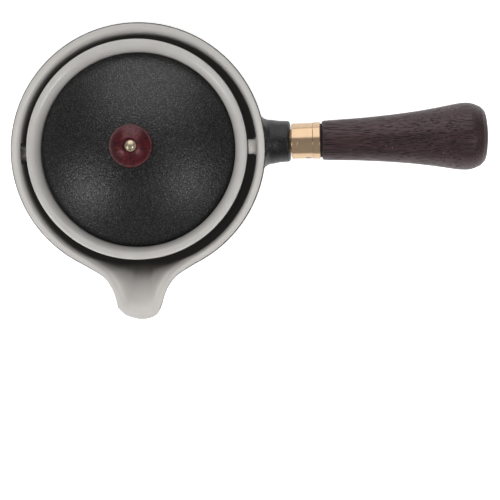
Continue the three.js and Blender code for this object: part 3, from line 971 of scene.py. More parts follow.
@dataclass
class OuterBowl:
    """Spouted bowl with its turning pins and the neck for the handle."""

    rim_outer_round: float = 1.3
    rim_inner_width: float = 2.3
    rim_inner_drop: float = 3.2
    outer_line: float = 0.5
    fade_drop: float = 0.9
    # In the spout's channel the cream's fade is set lower and wider: partly the glaze's edge, partly painted
    # shade.
    channel_fade_drop: float = 8.5
    channel_fade_width: float = 15.0
    fade_length: float = 2.1
    tip_line_width: float = 9.5
    tip_line_drop: float = 3.6
    foot_radius: float = 27.0
    foot_recess: float = 0.9
    foot_ring: float = 6.4
    spout_reach: float = 21.3
    spout_side: float = -1.0
    tip_rise: float = 1.5
    spout_half_width: float = 12.1
    spout_depth: float = 28.0
    channel_half_width: float = 8.9
    channel_depth: float = 20.0
    back_thicker: float = 1.1
    pin_radius: float = 3.7
    pin_tip: float = 51.5
    pin_fillet: float = 2.0
    pin_edge: float = 0.9
    pin_below_rim: float = 2.3
    neck_radius: float = 10.3
    neck_length: float = 13.25
    neck_flare: float = 0.9
    neck_edge: float = 1.2
    neck_below_rim: float = 1.3
    neck_fillet: float = 4.2
    neck_bore: float = 6.2
    neck_bore_depth: float = 11.0
    neck_from: float = 59.0
    angles: int = 300
    crowding: float = 0.45
    bare_height: float = 1.2

    @property
    def inner(self) -> float:
        """Radius of the inside."""
        return PLAN.bowl_radius - PLAN.bowl_wall

    @property
    def outer_top(self) -> float:
        """Height at which the outside turns into the rim."""
        return PLAN.rim_rise - self.rim_outer_round

    @property
    def outer_edge(self) -> float:
        """Radius of the outside at that height."""
        return math.sqrt(PLAN.bowl_radius**2 - self.outer_top**2)

    def outline(self) -> list[Point]:
        """Outline from the middle of the foot, over the rim, to the middle of the floor."""
        base, size = -PLAN.axis_height, self.rim_outer_round
        inner_top = PLAN.rim_rise - self.rim_inner_drop
        inner_edge = math.sqrt(self.inner**2 - inner_top**2)
        start = -math.degrees(math.acos(self.foot_radius / PLAN.bowl_radius))
        end = math.degrees(math.asin(self.outer_top / PLAN.bowl_radius))
        wall = arc((0, 0), PLAN.bowl_radius, start, end, 56)
        ring = self.foot_radius - self.foot_ring
        foot = rounded(
            [
                (0, base + self.foot_recess, 0),
                (ring - 1, base + self.foot_recess, 0.8),
                (ring, base, 0.5),
                (self.foot_radius - 0.2, base, 0.8),
                (self.foot_radius, wall[0][1], 2.2),
                (*wall[3], 0),
            ],
            8,
        )[:-1]
        rim = [
            *arc((self.outer_edge - size, self.outer_top), size, 0, 90, 10)[1:],
            *[
                (inner_edge + self.rim_inner_width * (1 + x), inner_top + self.rim_inner_drop * z)
                for x, z in arc((0, 0), 1, 90, 180, 18)
            ],
        ]
        inner_start = math.degrees(math.asin(inner_top / self.inner))
        inside = arc((0, 0), self.inner, inner_start, -90, 64)[1:-1]
        return [*foot, *wall[3:], *rim, *inside, (0, -self.inner)]

    def skin(self, places: np.ndarray) -> np.ndarray:
        """How far through the wall each vertex is.

        Args:
            places: Vertices of the plain bowl, in millimetres from the turning axis.

        Returns:
            The shares: 0 outside and 1 inside.
        """
        radius = np.hypot(places[:, 0], places[:, 1])
        over_rim = np.clip((self.outer_edge - radius) / (self.outer_edge - self.inner), 0, 1)
        inside = np.linalg.norm(places, axis=1) < (self.inner + PLAN.bowl_radius) / 2
        return np.where(places[:, 2] > self.outer_top - 1e-3, over_rim, inside.astype(float))

    def pulls(self, places: np.ndarray) -> tuple[np.ndarray, np.ndarray]:
        """Shares of the spout's reach by which the outside and the inside are drawn out there.

        Args:
            places: Vertices of the plain bowl, in millimetres from the turning axis.

        Returns:
            The share of the outside and the share of the inside.
        """
        depth = PLAN.rim_rise - places[:, 2]
        front = places[:, 1] < 0
        aside = np.abs(places[:, 0] - self.spout_side)
        widths = (0, 0.6, 0.87, 1, 1.15, 1.46, 1.83, 2.4)
        reaches = (1, 0.935, 0.78, 0.52, 0.33, 0.125, 0.045, 0)
        outside = smooth_through(widths, reaches, aside / self.spout_half_width)
        outside *= np.clip(1 - depth / self.spout_depth, 0, None) ** 1.5
        widths = (0, 0.55, 0.74, 1, 1.28, 1.64, 2.27, 2.8)
        reaches = (1, 0.955, 0.85, 0.52, 0.33, 0.165, 0.055, 0)
        narrowing = 0.62 + 0.53 * np.exp(-np.clip(depth, 0, None) / 5)
        inside = smooth_through(widths, reaches, aside / (self.channel_half_width * narrowing))
        inside *= np.clip(1 - depth / self.channel_depth, 0, None) ** 1.4
        return np.where(front, outside, 0), np.where(front, inside, 0)

    def shell(self) -> bpy.types.Object:
        """The bowl with its spout, about the turning axis."""
        shell = turned("outer_bowl_shell", self.outline(), self.angles, 50)
        places = corners_of(shell)
        angle = np.arctan2(places[:, 1], places[:, 0])
        crowded = angle - self.crowding * np.sin(angle + math.pi / 2)
        radius = np.hypot(places[:, 0], places[:, 1])
        places[:, 0] = radius * np.cos(crowded)
        places[:, 1] = radius * np.sin(crowded)
        skin = self.skin(places)
        outside, inside = self.pulls(places)
        pull = (1 - skin) * outside + skin * inside
        back = np.clip(places[:, 1] / self.inner, 0, 1) ** 2
        thicker = self.back_thicker * back * skin * np.clip(1 + places[:, 2] / 30, 0, 1)
        cream = self.cream_edge(places, skin, outside, inside)
        places[:, 0] += np.interp(pull, (0, 0.4, 0.75, 0.9, 1), (0, -0.2, -0.45, 0.3, 1.2))
        places[:, :2] *= (1 - thicker / self.inner)[:, None]
        places[:, 1] -= self.spout_reach * pull
        places[:, 2] += self.tip_rise * pull
        move_corners(shell, places)
        # Inside, the cream's edge is drawn soft: partly the glaze's own edge, partly painted shade.
        self.mark(shell, cream, skin, np.where(skin < 0.5, 0, 1.0))
        return shell

    def cream_edge(
        self, places: np.ndarray, skin: np.ndarray, outside: np.ndarray, inside: np.ndarray
    ) -> np.ndarray:
        """How far each vertex lies within the cream glaze, in millimetres; in the spout's channel the edge is
        drawn lower and softer, partly as painted shade.

        Args:
            places: Vertices of the plain bowl, in millimetres from the turning axis.
            skin: How far through the wall each one is.
            outside: Share of the spout's reach by which the outside is drawn out there.
            inside: The same share of the inside.

        Returns:
            The depths, negative where the glaze is black.
        """
        aside = places[:, 0] - self.spout_side
        # Lower, wider fade in the channel: the glaze's edge with painted shade over it.
        channel = np.exp(-((aside / self.channel_fade_width) ** 2)) * (places[:, 1] < 0)
        drop = places[:, 2] + self.fade_drop + self.channel_fade_drop * channel + 1.5 * inside
        in_edge = np.clip(drop / (self.fade_length + 0.9 * channel), -9, 3.0)
        tip = np.clip(1 - np.abs(aside) / self.tip_line_width, 0, 1) * (outside > 0.3)
        from_side = self.outer_edge - np.hypot(places[:, 0], places[:, 1])
        out_edge = np.where(places[:, 2] > self.outer_top, from_side, places[:, 2] - self.outer_top)
        out_edge += self.tip_line_drop * np.sqrt(tip) - self.outer_line
        return np.where(skin < 0.5, out_edge, in_edge)

    def mark(self, piece: bpy.types.Object, cream: object, inside: object, bleed_and_shade: object) -> None:
        """Keeps for each vertex its depth in the cream, whether it is inside and how soft the cream's edge is
        drawn, which inside is partly painted shade.
        """
        for name, values in (("cream", cream), ("inside", inside), ("bleed_and_shade", bleed_and_shade)):
            note(piece, name, np.full(len(piece.data.vertices), values))

    def to_sphere(self, starts: np.ndarray, way: np.ndarray, radius: float) -> np.ndarray:
        """Distance along a direction from each start to a sphere about the turning axis.

        Args:
            starts: Rows of x, y and z, from the turning axis.
            way: Unit direction.
            radius: Radius of the sphere.

        Returns:
            The distances.
        """
        along = starts @ way
        return -along + np.sqrt(np.maximum(along**2 - (starts**2).sum(axis=1) + radius**2, 0))

    def boss(
        self, name: str, outline: Sequence[Point], frame: Matrix, sphere: float, follow: float, highest: float
    ) -> bpy.types.Object:
        """A turned stub whose root flows into the bowl's wall.

        Args:
            name: Name of the piece.
            outline: Radius, and distance from the wall's face.
            frame: Place of the stub from the turning axis, its Z away from the wall's face.
            sphere: Radius of the wall's face; the stub of an inner face points at the middle.
            follow: Distance from the wall up to which the shape still bends with it.
            highest: Height that the root stays under.

        Returns:
            The stub, in millimetres from the turning axis.
        """
        stub = turned(name, outline, 72, 50)
        local = corners_of(stub)
        turn = np.array(frame.to_3x3())
        start = np.array(frame.translation)
        way = turn @ np.array((0, 0, 1.0))
        feet = start + local[:, :2] @ turn[:, :2].T
        near = np.clip(1 - local[:, 2] / follow, 0, 1)
        near = near**2 * (3 - 2 * near)
        over = np.maximum(feet[:, 2] - (highest - 1.5), 0)
        feet[:, 2] -= near * (over - 1.5 * np.tanh(over / 1.5))
        side = 1 if sphere > self.inner else -1
        reach = side * self.to_sphere(feet, side * way, sphere)
        middle = side * self.to_sphere(start[None, :], side * way, sphere)[0]
        places = feet + np.outer(near * reach + (1 - near) * middle + local[:, 2], way)
        move_corners(stub, places)
        return stub

    def neck(self) -> bpy.types.Object:
        """The neck, flowing out of the bowl's side."""
        size, edge, length = self.neck_fillet, self.neck_edge, self.neck_length
        root = self.neck_radius + self.neck_flare
        end = length - self.neck_bore_depth
        side = [(root, size), (self.neck_radius + 0.25, 8.0), (self.neck_radius, length - edge)]
        bore = [(self.neck_radius - 2, length, 0), (self.neck_bore, length, 0.4), (self.neck_bore, end, 0)]
        outline = [
            (0, -3.0),
            (root + size, -3.0),
            (root + size, -0.12),
            *arc((root + size, size), size, 270, 180, 14)[1:],
            *through(side, 8)[1:],
            *arc((self.neck_radius - edge, length - edge), edge, 0, 90, 8)[1:],
            *rounded(bore, 4)[1:],
            (0, end),
        ]
        frame = PLAN.turning.inverted() @ PLAN.handle
        highest = PLAN.rim_rise - self.neck_below_rim
        stub = self.boss("outer_bowl_neck", outline, frame, PLAN.bowl_radius, 9, highest)
        self.mark(stub, -9.0, 0.0, 0.0)
        return stub

    def pin(self, side: float) -> bpy.types.Object:
        """A turning pin.

        Args:
            side: 1 at the handle and -1 across from it.

        Returns:
            The pin, in millimetres from the turning axis.
        """
        length = self.inner - self.pin_tip
        size = self.pin_fillet
        outline = [
            (0, -2.0),
            (self.pin_radius + size, -2.0),
            (self.pin_radius + size, -0.08),
            *arc((self.pin_radius + size, size), size, 270, 180, 8)[1:],
            *arc((self.pin_radius - self.pin_edge, length - self.pin_edge), self.pin_edge, 0, 90, 8),
            (0, length),
        ]
        frame = Matrix.Rotation(math.radians(-90 * side), 4, "Y")
        stub = self.boss("outer_bowl_pin", outline, frame, self.inner, 3, PLAN.rim_rise - self.pin_below_rim)
        from_wall = self.inner - np.abs(corners_of(stub)[:, 0])
        # Cream on the pins fades to black towards the wall, on the pin across from the handle over most of
        # its length.
        cream = (0.0, 2.5) if side > 0 else (-2.0, 0.9)
        self.mark(stub, np.interp(from_wall, (0.5, length), cream), 1.0, 1.0)
        return stub

    def paint(self, piece: bpy.types.Object) -> None:
        """Sand glaze outside, lighter on the bowl as a painted sheen; black inside, darker as painted shade
        and with a faint painted glow; cream on rim, spout and pins, lighter inside as painted light and
        darker near its edge partly as painted shade; bare clay on the foot ring.

        Args:
            piece: The bowl with its neck and pins.
        """
        shader = Shader("outer_bowl_glaze")
        inside, bleed_and_shade = shader.attribute("inside"), shader.attribute("bleed_and_shade")
        wobble = shader.wobble(2.4, 0.35)
        edge = shader.attribute("cream") + wobble
        # Black glaze inside, drawn darker as painted shade.
        within = INNER_BLACK_PAINTED_SHADE.layer(shader)
        within.colour = shader.blend(edge.step(-2.4, -0.5), within.colour, INNER_BROWN)
        # The bowl's outside takes the lighter sand glaze, a painted sheen; the neck and a band under the rim
        # keep the plain one.
        plain = shader.part("X").step(self.neck_from, self.neck_from + 7).most(edge.step(-3.4, -1.6))
        layer = COARSE_SAND_PAINTED_SHEEN.layer(shader).under(shader, SAND.layer(shader), plain)
        layer = layer.under(shader, within, inside.step(0.4, 0.6))
        rim = CREAM.layer(shader)
        rim.colour = shader.blend(edge.step(0.35, 0.02) * 0.5, rim.colour, CREAM_EDGE)
        # Lighter cream inside: painted light against the shade.
        rim.colour = shader.blend(inside, rim.colour, INNER_CREAM_PAINTED_LIGHT)
        # Cream darkens towards its edge inside: partly thinner glaze, partly painted shade.
        rim.colour = shader.blend(inside * edge.step(1.6, -1.0) * 0.55, rim.colour, THIN_CREAM_AND_SHADE)
        rim.roughness = rim.roughness + inside.step(0.7, 1.0) * 0.28
        # Inside, the cream's edge is drawn soft: partly the glaze's own edge, partly painted shade.
        layer = layer.under(shader, rim, (edge / (bleed_and_shade * 1.6 + 0.1)).step(-1, 1))
        bare = (shader.part("Z") + wobble).step(self.bare_height + 0.1, self.bare_height - 0.1)
        layer = layer.under(shader, BareClay().layer(shader), bare)
        # The inside glows faintly: painted light that lifts the shade in the gap between the bowls.
        shader.feed(shader.surface.inputs["Emission Color"], shader.blend(inside, (0, 0, 0), INNER_PAINTED_GLOW))
        dress(piece, shader, layer, Specular_IOR_Level=0.42, Emission_Strength=1.0)

    def build(self) -> None:
        """Builds and dresses the bowl."""
        pins = [self.pin(1), self.pin(-1)]
        bowl = joined("outer_bowl_fired", [self.shell(), self.neck(), *pins])
        self.paint(bowl)
        place(bowl, PLAN.turning, Body.KETTLE, "sand_glaze", "outer_bowl")


@dataclass
class BrewingBall:
    """Inner bowl that turns on the pins, and its strainer."""

    wall: float = 5.5
    rim_rise: float = 11.1
    rim_round: float = 1.5
    rim_roll: float = 4.1
    lid_gap: float = 0.4
    seat_width: float = 3.5
    seat_height: float = 2.2
    throat_depth: float = 9.2
    foot_radius: float = 28.4
    foot_width: float = 6.2
    foot_drop: float = 48.99
    recess: float = 5.2
    land_rise: float = 1.5
    land_width: float = 4.3
    hole: float = 14.2
    floor_drop: float = 39.99
    socket_radius: float = 4.1
    socket_floor: float = 51.1
    socket_cut: float = 6.0
    cup_height: float = 9.0
    cup_sheet: float = 0.6
    cup_gap: float = 0.3
    cup_narrowing: float = 2.4
    cup_bend: float = 2.2
    drill_radius: float = 0.36
    drill_pitch: float = 1.06
    tab_half: float = 1.5
    tab_reach: float = 3.4

    def outline(self) -> list[Point]:
        """Closed outline from the strainer's hole, round the outside and over the rim to the inside."""
        foot = -self.foot_drop
        ledge = foot + self.recess
        land = ledge - self.land_rise
        ring = self.foot_radius - self.foot_width
        land_edge = self.hole + self.land_width
        side = self.rim_rise - self.rim_round
        edge = math.sqrt(PLAN.ball_radius**2 - side**2)
        bore = PLAN.lid_radius + self.lid_gap
        start = -math.degrees(math.acos(self.foot_radius / PLAN.ball_radius))
        wall = arc((0, 0), PLAN.ball_radius, start, math.degrees(math.asin(side / PLAN.ball_radius)), 60)
        below = rounded(
            [
                (self.hole, land, 0.5),
                (land_edge - 0.5, land, 0.6),
                (land_edge + 0.3, ledge, 0.7),
                (ring, ledge, 1.1),
                (ring + 0.2, foot, 0.8),
                (self.foot_radius - 0.1, foot, 0.9),
                (self.foot_radius, wall[0][1], 1.0),
                (*wall[2], 0),
            ],
            6,
        )[:-1]
        rise = self.rim_rise - PLAN.lid_edge_rise
        roll = [
            (bore + self.rim_roll * (1 - math.sin(a)), PLAN.lid_edge_rise + rise * math.cos(a))
            for a in np.radians(np.linspace(0, 90, 15))
        ]
        throat = bore - self.lid_gap - self.seat_width
        neck = self.seat_height - self.throat_depth
        inner = PLAN.ball_radius - self.wall
        inside_start = math.degrees(math.asin((neck - 9) / inner))
        inside_end = -math.degrees(math.asin(self.floor_drop / inner))
        inside = arc((0, 0), inner, inside_start, inside_end, 30)
        seat = rounded(
            [
                (*roll[-1], 0),
                (bore, self.seat_height, 0.5),
                (throat, self.seat_height, 0.6),
                (throat, neck, 4.0),
                (*inside[1], 0),
            ],
            6,
        )[1:-1]
        rim = arc((edge - self.rim_round, side), self.rim_round, 0, 90, 8)[1:]
        drain = [(*inside[-1], 3.0), (self.hole, -self.floor_drop - 0.7, 0.6), (self.hole, land, 0)]
        floor = rounded([(*inside[-2], 0), *drain], 6)[1:-1]
        return [*below, *wall[2:], *rim, *roll, *seat, *inside[1:-1], *floor]

    def bowl(self) -> None:
        """The fired bowl, with the sockets for the pins cut into it."""
        bowl = turned("inner_bowl_fired", self.outline(), 208, 40)
        length = math.sqrt(PLAN.ball_radius**2 - self.socket_floor**2) + 2
        size = self.socket_cut
        for side in (1, -1):
            start = Vector((side * self.socket_floor, 0, 0))
            cut(bowl, rod_between(start, start + Vector((side * size, 0, 0)), self.socket_radius, 48))
            bpy.ops.object.select_all(action="DESELECT")
            middle = (side * (self.socket_floor + size / 2), length / 2, 0)
            bpy.ops.mesh.primitive_cube_add(size=1, location=middle)
            slot = bpy.context.object
            slot.scale = (size, length, 2 * self.socket_radius)
            bpy.ops.object.transform_apply(location=True, rotation=False, scale=True)
            cut(bowl, slot)
        smooth(bowl, 40)
        self.paint(bowl)
        place(bowl, PLAN.turning, Body.BALL, "black_glaze", "inner_bowl")

    def paint(self, bowl: bpy.types.Object) -> None:
        """Fine sand glaze outside, satin inside, cream rim and a foot of bare clay with a rusty edge.

        Args:
            bowl: The bowl, with its sockets cut.
        """
        shader = Shader("inner_bowl_glaze")
        x, y, z = shader.part("X"), shader.part("Y"), shader.part("Z") - PLAN.axis_height
        radius = (x * x + y * y) ** 0.5
        sphere = (x * x + y * y + z * z) ** 0.5
        wobble = shader.wobble(2.2, 0.5)
        outer = sphere.step(PLAN.ball_radius - 0.6, PLAN.ball_radius - 0.3)
        layer = BLACK_SATIN.layer(shader).under(shader, FINE_SAND.layer(shader), outer)
        rim = CREAM.layer(shader)
        ledge = (z + wobble * 0.4).step(PLAN.lid_edge_rise - 2.9, PLAN.lid_edge_rise - 2.6)
        within = radius.step(PLAN.lid_radius + 2.4, PLAN.lid_radius + 2.1)
        above = (z + wobble * 0.3).step(self.rim_rise - 1.6, self.rim_rise - 1.4)
        layer = layer.under(shader, rim, ledge * above.most(within))
        under, inner = -self.foot_drop, self.foot_radius - self.foot_width
        foot = (z + wobble * 0.6).step(under + 2.1, under + 1.4)
        rust = (z + wobble * 5).step(under + 5.2, under + 1.6)
        ring = radius.step(inner - 0.3, inner - 0.05)
        brown = Layer(shader.blend(shader.noise(1.1, 3), RUST_DARK, RUST_LIGHT), 0.6, 0.0)
        speckled = shader.noise(0.7, 3).step(0.5, 0.62)
        layer = layer.under(shader, brown, rust * ring * speckled)
        layer = layer.under(shader, BareClay().layer(shader), foot * ring)
        dress(bowl, shader, layer)

    def strainer(self) -> None:
        """The pressed steel cup with rings of fine holes and four tabs."""
        height, sheet = self.cup_height, self.cup_sheet
        rim = self.hole - self.cup_gap
        top = rim - self.cup_narrowing
        outer = rounded([(0, height, 0), (top, height, 2.2), (rim, -0.2, 0.25), (rim, -sheet, 0)], 8)[:-1]
        floor = [(top - sheet, height - sheet, 1.6), (0, height - sheet, 0)]
        inner = rounded([(rim, -sheet, 0), (rim - sheet, -sheet, 0.2), *floor], 8)
        cup = turned("strainer_cup", [*outer, *inner], 96, 40)
        drills = []
        for row, (radius, level, tilt) in enumerate(self.hole_rows(top, rim)):
            count = max(1, 6 * row) if row < 10 else round(5.8 * radius)
            first = Matrix.Rotation(math.pi * (row % 2) / count, 3, "Z")
            spot = first @ Vector((radius, 0, level))
            out = first @ Vector((math.sin(tilt), 0, math.cos(tilt)))
            drill = rod_between(spot - out * 0.66, spot + out * 0.5, self.drill_radius, 8)
            drills.append(ring_of(drill, count))
        cut(cup, joined("strainer_drills", drills))
        tabs = [self.tab(rim, math.pi / 4 + index * math.pi / 2) for index in range(4)]
        cup = joined("strainer_pressed", [cup, *tabs])
        smooth(cup, 40)
        finished(cup, "strainer_steel", STEEL)
        lift = Matrix.Translation((0, 0, self.recess - self.land_rise - self.foot_drop - 0.3))
        place(cup, PLAN.turning @ lift, Body.BALL, "steel", "strainer")

    def hole_rows(self, top: float, rim: float) -> list[tuple[float, float, float]]:
        """Rings of holes in the cup's floor, round its corner and down its wall.

        Args:
            top: Radius where floor and wall would meet.
            rim: Radius of the cup's rim.

        Returns:
            Radius, level and tilt of each ring, the tilt measured from the cup's axis.
        """
        height, pitch, bend = self.cup_height, self.drill_pitch, self.cup_bend
        lean = math.pi / 2 - math.atan2(rim - top, height + 0.2)
        middle = top - bend * math.tan(lean / 2)
        rows = [(pitch * ring, height, 0.0) for ring in range(10)]
        for tilt in (0.36, 0.845, lean):
            rows.append((middle + bend * math.sin(tilt), height - bend + bend * math.cos(tilt), tilt))
        radius, level, _ = rows[-1]
        for step in (pitch, 2 * pitch):
            rows.append((radius + step * math.cos(lean), level - step * math.sin(lean), lean))
        return rows

    def tab(self, rim: float, turn: float) -> bpy.types.Object:
        """A flat tab with a round end.

        Args:
            rim: Radius of the cup's rim.
            turn: Direction of the tab.

        Returns:
            The tab.
        """
        sheet, half, reach = self.cup_sheet, self.tab_half, self.tab_reach
        edge = [(rim - sheet, -half), (rim + reach - half, -half)]
        edge += [(rim + x, y) for x, y in arc((reach - half, 0), half, -80, 80, 8)]
        edge += [(rim + reach - half, half), (rim - sheet, half)]
        bpy.ops.object.select_all(action="DESELECT")
        bpy.ops.mesh.primitive_circle_add(vertices=len(edge), radius=1, fill_type="NGON")
        tab = bpy.context.object
        move_corners(tab, np.array([(x, y, -sheet) for x, y in edge]))
        bpy.ops.object.mode_set(mode="EDIT")
        bpy.ops.mesh.select_all(action="SELECT")
        bpy.ops.mesh.extrude_region_move(TRANSFORM_OT_translate={"value": (0, 0, sheet)})
        bpy.ops.mesh.select_all(action="SELECT")
        bpy.ops.mesh.normals_make_consistent(inside=False)
        bpy.ops.object.mode_set(mode="OBJECT")
        apply_modifier(tab, "BEVEL", width=0.14, segments=2, limit_method="ANGLE")
        tab.data.transform(Matrix.Rotation(turn, 4, "Z"))
        return tab

    def build(self) -> None:
        """Builds and dresses the ball and its strainer."""
        self.bowl()
        self.strainer()


@dataclass
class Lid:
    """Domed lid with its seal, knob and bolt."""

    edge_drop: float = 2.9
    wall: float = 4.2
    bore: float = 2.4
    skirt_radius: float = 42.8
    skirt_wall: float = 4.0
    skirt_depth: float = 7.0
    seal_height: float = 2.0
    groove_depth: float = 1.5
    groove_lift: float = 0.9
    knob_radius: float = 10.2
    knob_height: float = 17.6
    knob_spot: Point = (-0.1, 0.6)
    knob_recess: float = 0.9
    head_radius: float = 2.75
    head_lift: float = 0.6
    bolt_spot: Point = (0.35, 0.35)
    bolt_end: float = 1.2
    thread_pitch: float = 0.7
    thread_core: float = 1.72
    thread_radius: float = 2.0
    washer_radius: float = 6.0
    washer_height: float = 1.0
    nut_height: float = 3.2
    nut_radius: float = 4.05
    gap: float = 0.3

    @property
    def sphere(self) -> float:
        """Radius of the dome's sphere."""
        return (PLAN.lid_radius**2 + PLAN.dome_rise**2) / (2 * PLAN.dome_rise)

    def shell(self) -> None:
        """The fired lid."""
        centre = PLAN.dome_rise - self.sphere
        under = self.sphere - self.wall
        inner = self.skirt_radius - self.skirt_wall
        foot = -self.edge_drop - self.skirt_depth
        low = foot + self.groove_lift
        high = low + self.seal_height + 0.6
        groove = self.skirt_radius - self.groove_depth
        start = math.degrees(math.acos(self.bore / under))
        end = math.degrees(math.acos((inner - 2) / under))
        inside = arc((0, centre), under, start, end, 22)
        dome = arc(
            (0, centre),
            self.sphere,
            math.degrees(math.acos((PLAN.lid_radius - 1.6) / self.sphere)),
            math.degrees(math.acos(self.bore / self.sphere)),
            46,
        )
        edge = rounded(
            [
                (*inside[-1], 0),
                (inner, centre + math.sqrt(under**2 - inner**2), 1.6),
                (inner + 0.4, foot, 0.9),
                (self.skirt_radius, foot, 0.4),
                (self.skirt_radius, low, 0.15),
                (groove, low, 0.2),
                (groove, high, 0.2),
                (self.skirt_radius, high, 0.15),
                (self.skirt_radius, -self.edge_drop, 0.5),
                (PLAN.lid_radius - 0.05, -self.edge_drop, 0.4),
                (PLAN.lid_radius, -0.35, 1.0),
                (*dome[0], 0),
            ],
            6,
        )[1:-1]
        lid = turned("lid_fired", [*inside, *edge, *dome], 208, 40)
        shader = Shader("lid_glaze")
        z = shader.part("Z") - (PLAN.axis_height + PLAN.lid_edge_rise)
        below = (z + shader.wobble(1.8, 0.5)).step(-self.edge_drop + 0.2, -self.edge_drop - 0.2)
        layer = LID_GRAIN.layer(shader).under(shader, BLACK_SATIN.layer(shader), below)
        dress(lid, shader, layer, Specular_IOR_Level=0.38)
        place(lid, PLAN.lid, Body.LID, "lid_glaze", "lid")

    def seal(self) -> None:
        """The soft ring in the skirt's groove."""
        outer = PLAN.lid_radius - 3.5 - self.gap
        inner = self.skirt_radius - self.groove_depth + self.gap
        foot = self.groove_lift + self.gap - self.edge_drop - self.skirt_depth
        lip = self.skirt_radius + 0.1
        ring = rounded(
            [
                (inner, foot, 0.2),
                (lip, foot, 0.3),
                (outer, foot + 0.55 * self.seal_height, 0.3),
                (lip + 0.1, foot + self.seal_height, 0.25),
                (inner, foot + self.seal_height, 0.2),
            ],
            5,
        )
        seal = turned("lid_seal_ring", ring, 160, 40)
        finished(seal, "seal_silicone", SILICONE, Subsurface_Weight=0.15)
        place(seal, PLAN.lid, Body.LID, "silicone", "lid_seal")

    def knob(self) -> None:
        """The turned knob."""
        shares = (
            *((0.56, 0.0), (0.60, 0.035), (0.56, 0.11), (0.66, 0.19), (0.82, 0.32), (0.945, 0.48)),
            *((0.995, 0.62), (1.0, 0.71), (0.955, 0.79), (0.85, 0.852), (0.70, 0.913), (0.50, 0.974)),
            (0.36, 1.0),
        )
        height, seat = self.knob_height, self.head_radius + 0.4
        points = [(self.knob_radius * r, height * z) for r, z in shares]
        floor = height - self.knob_recess
        well = [(seat, height, 0.15), (seat, floor, 0.1), (self.bore, floor, 0), (self.bore, 0, 0)]
        top = rounded([(points[-1][0] + 0.3, height, 0), *well], 4)[1:]
        knob = turned("lid_knob_turned", [*through(points, 64), *top], 128, 40)
        gloss = {"Specular_IOR_Level": 0.65, "Specular_Tint": (1.0, 0.62, 0.68, 1.0)}
        finished(knob, "knob_rosewood", ROSEWOOD, **gloss)
        where = PLAN.lid @ Matrix.Translation((*self.knob_spot, PLAN.dome_rise + self.gap))
        place(knob, where, Body.LID, "rosewood", "lid_knob")

    def bolt(self) -> None:
        """The domed bolt, and its washer and nut under the lid."""
        head = PLAN.dome_rise + self.knob_height - self.knob_recess + self.head_lift
        under, reach = self.sphere - self.wall, self.washer_radius
        washer_top = PLAN.dome_rise - self.sphere + math.sqrt(under**2 - reach**2) - self.gap
        nut_top = washer_top - self.washer_height - self.gap
        end = nut_top - self.nut_height - self.bolt_end
        core, crest, pitch = self.thread_core, self.thread_radius, self.thread_pitch
        thread: list[Point] = []
        height = end + 0.5
        while height < nut_top:
            thread += [(core, height), (crest, height + 0.3), (crest, height + 0.4), (core, height + pitch)]
            height += pitch
        rim = self.head_radius
        dome = [(rim - 0.15, 0.7), (rim - 0.55, 1.15), (rim - 1.35, 1.58), (rim - 2.15, 1.76), (0, 1.8)]
        dome = through([(radius, head + rise) for radius, rise in dome], 16)
        shank = [(0, end), (1.6, end), *thread, (1.98, height + 0.2), (1.98, head), (rim - 0.15, head)]
        shank += [(rim, head + 0.15), (rim, head + 0.5)]
        bolt = finished(turned("knob_bolt_turned", [*shank, *dome], 64, 30), "bolt_brass", PALE_BRASS)
        place(bolt, PLAN.lid @ Matrix.Translation((*self.bolt_spot, 0)), Body.LID, "pale_brass", "knob_bolt")
        foot = -self.washer_height
        ring = rounded([(2.3, foot, 0.15), (reach, foot, 0.3), (reach, 0, 0.3), (2.3, 0, 0.15)], 4)
        washer = finished(turned("knob_washer_ring", ring, 72, 40), "washer_silicone", SILICONE)
        where = PLAN.lid @ Matrix.Translation((0, 0, washer_top))
        place(washer, where, Body.LID, "silicone", "knob_washer")
        nut = finished(self.nut(), "nut_steel", STEEL)
        where = PLAN.lid @ Matrix.Translation((0, 0, nut_top - self.nut_height / 2))
        place(nut, where, Body.LID, "steel", "knob_nut")

    def nut(self) -> bpy.types.Object:
        """A six-sided nut with chamfered corners and a threaded hole."""
        half = self.nut_height / 2
        nut = rod_between(Vector((0, 0, -half)), Vector((0, 0, half)), self.nut_radius, 6)
        nut.name = "knob_nut_hex"
        side = [(3.5, -1.62, 0), (4.2, -1.2, 0), (4.2, 1.2, 0), (3.5, 1.62, 0)]
        cap = turned("nut_chamfer", rounded([(0, -1.62, 0), *side, (0, 1.62, 0)]), 48)
        apply_modifier(nut, "BOOLEAN", operation="INTERSECT", solver="EXACT", object=cap)
        bpy.data.objects.remove(cap, do_unlink=True)
        ridges: list[Point] = [(0, -2)]
        for index in range(6):
            low = -2 + self.thread_pitch * index
            ridges += [(2.25, low), (2.06, low + self.thread_pitch / 2)]
        cut(nut, turned("nut_thread", [*ridges, (2.25, 2.2), (0, 2.2)], 48))
        smooth(nut, 30)
        return nut

    def build(self) -> None:
        """Builds and dresses the lid and what is on it."""
        self.shell()
        self.seal()
        self.knob()
        self.bolt()


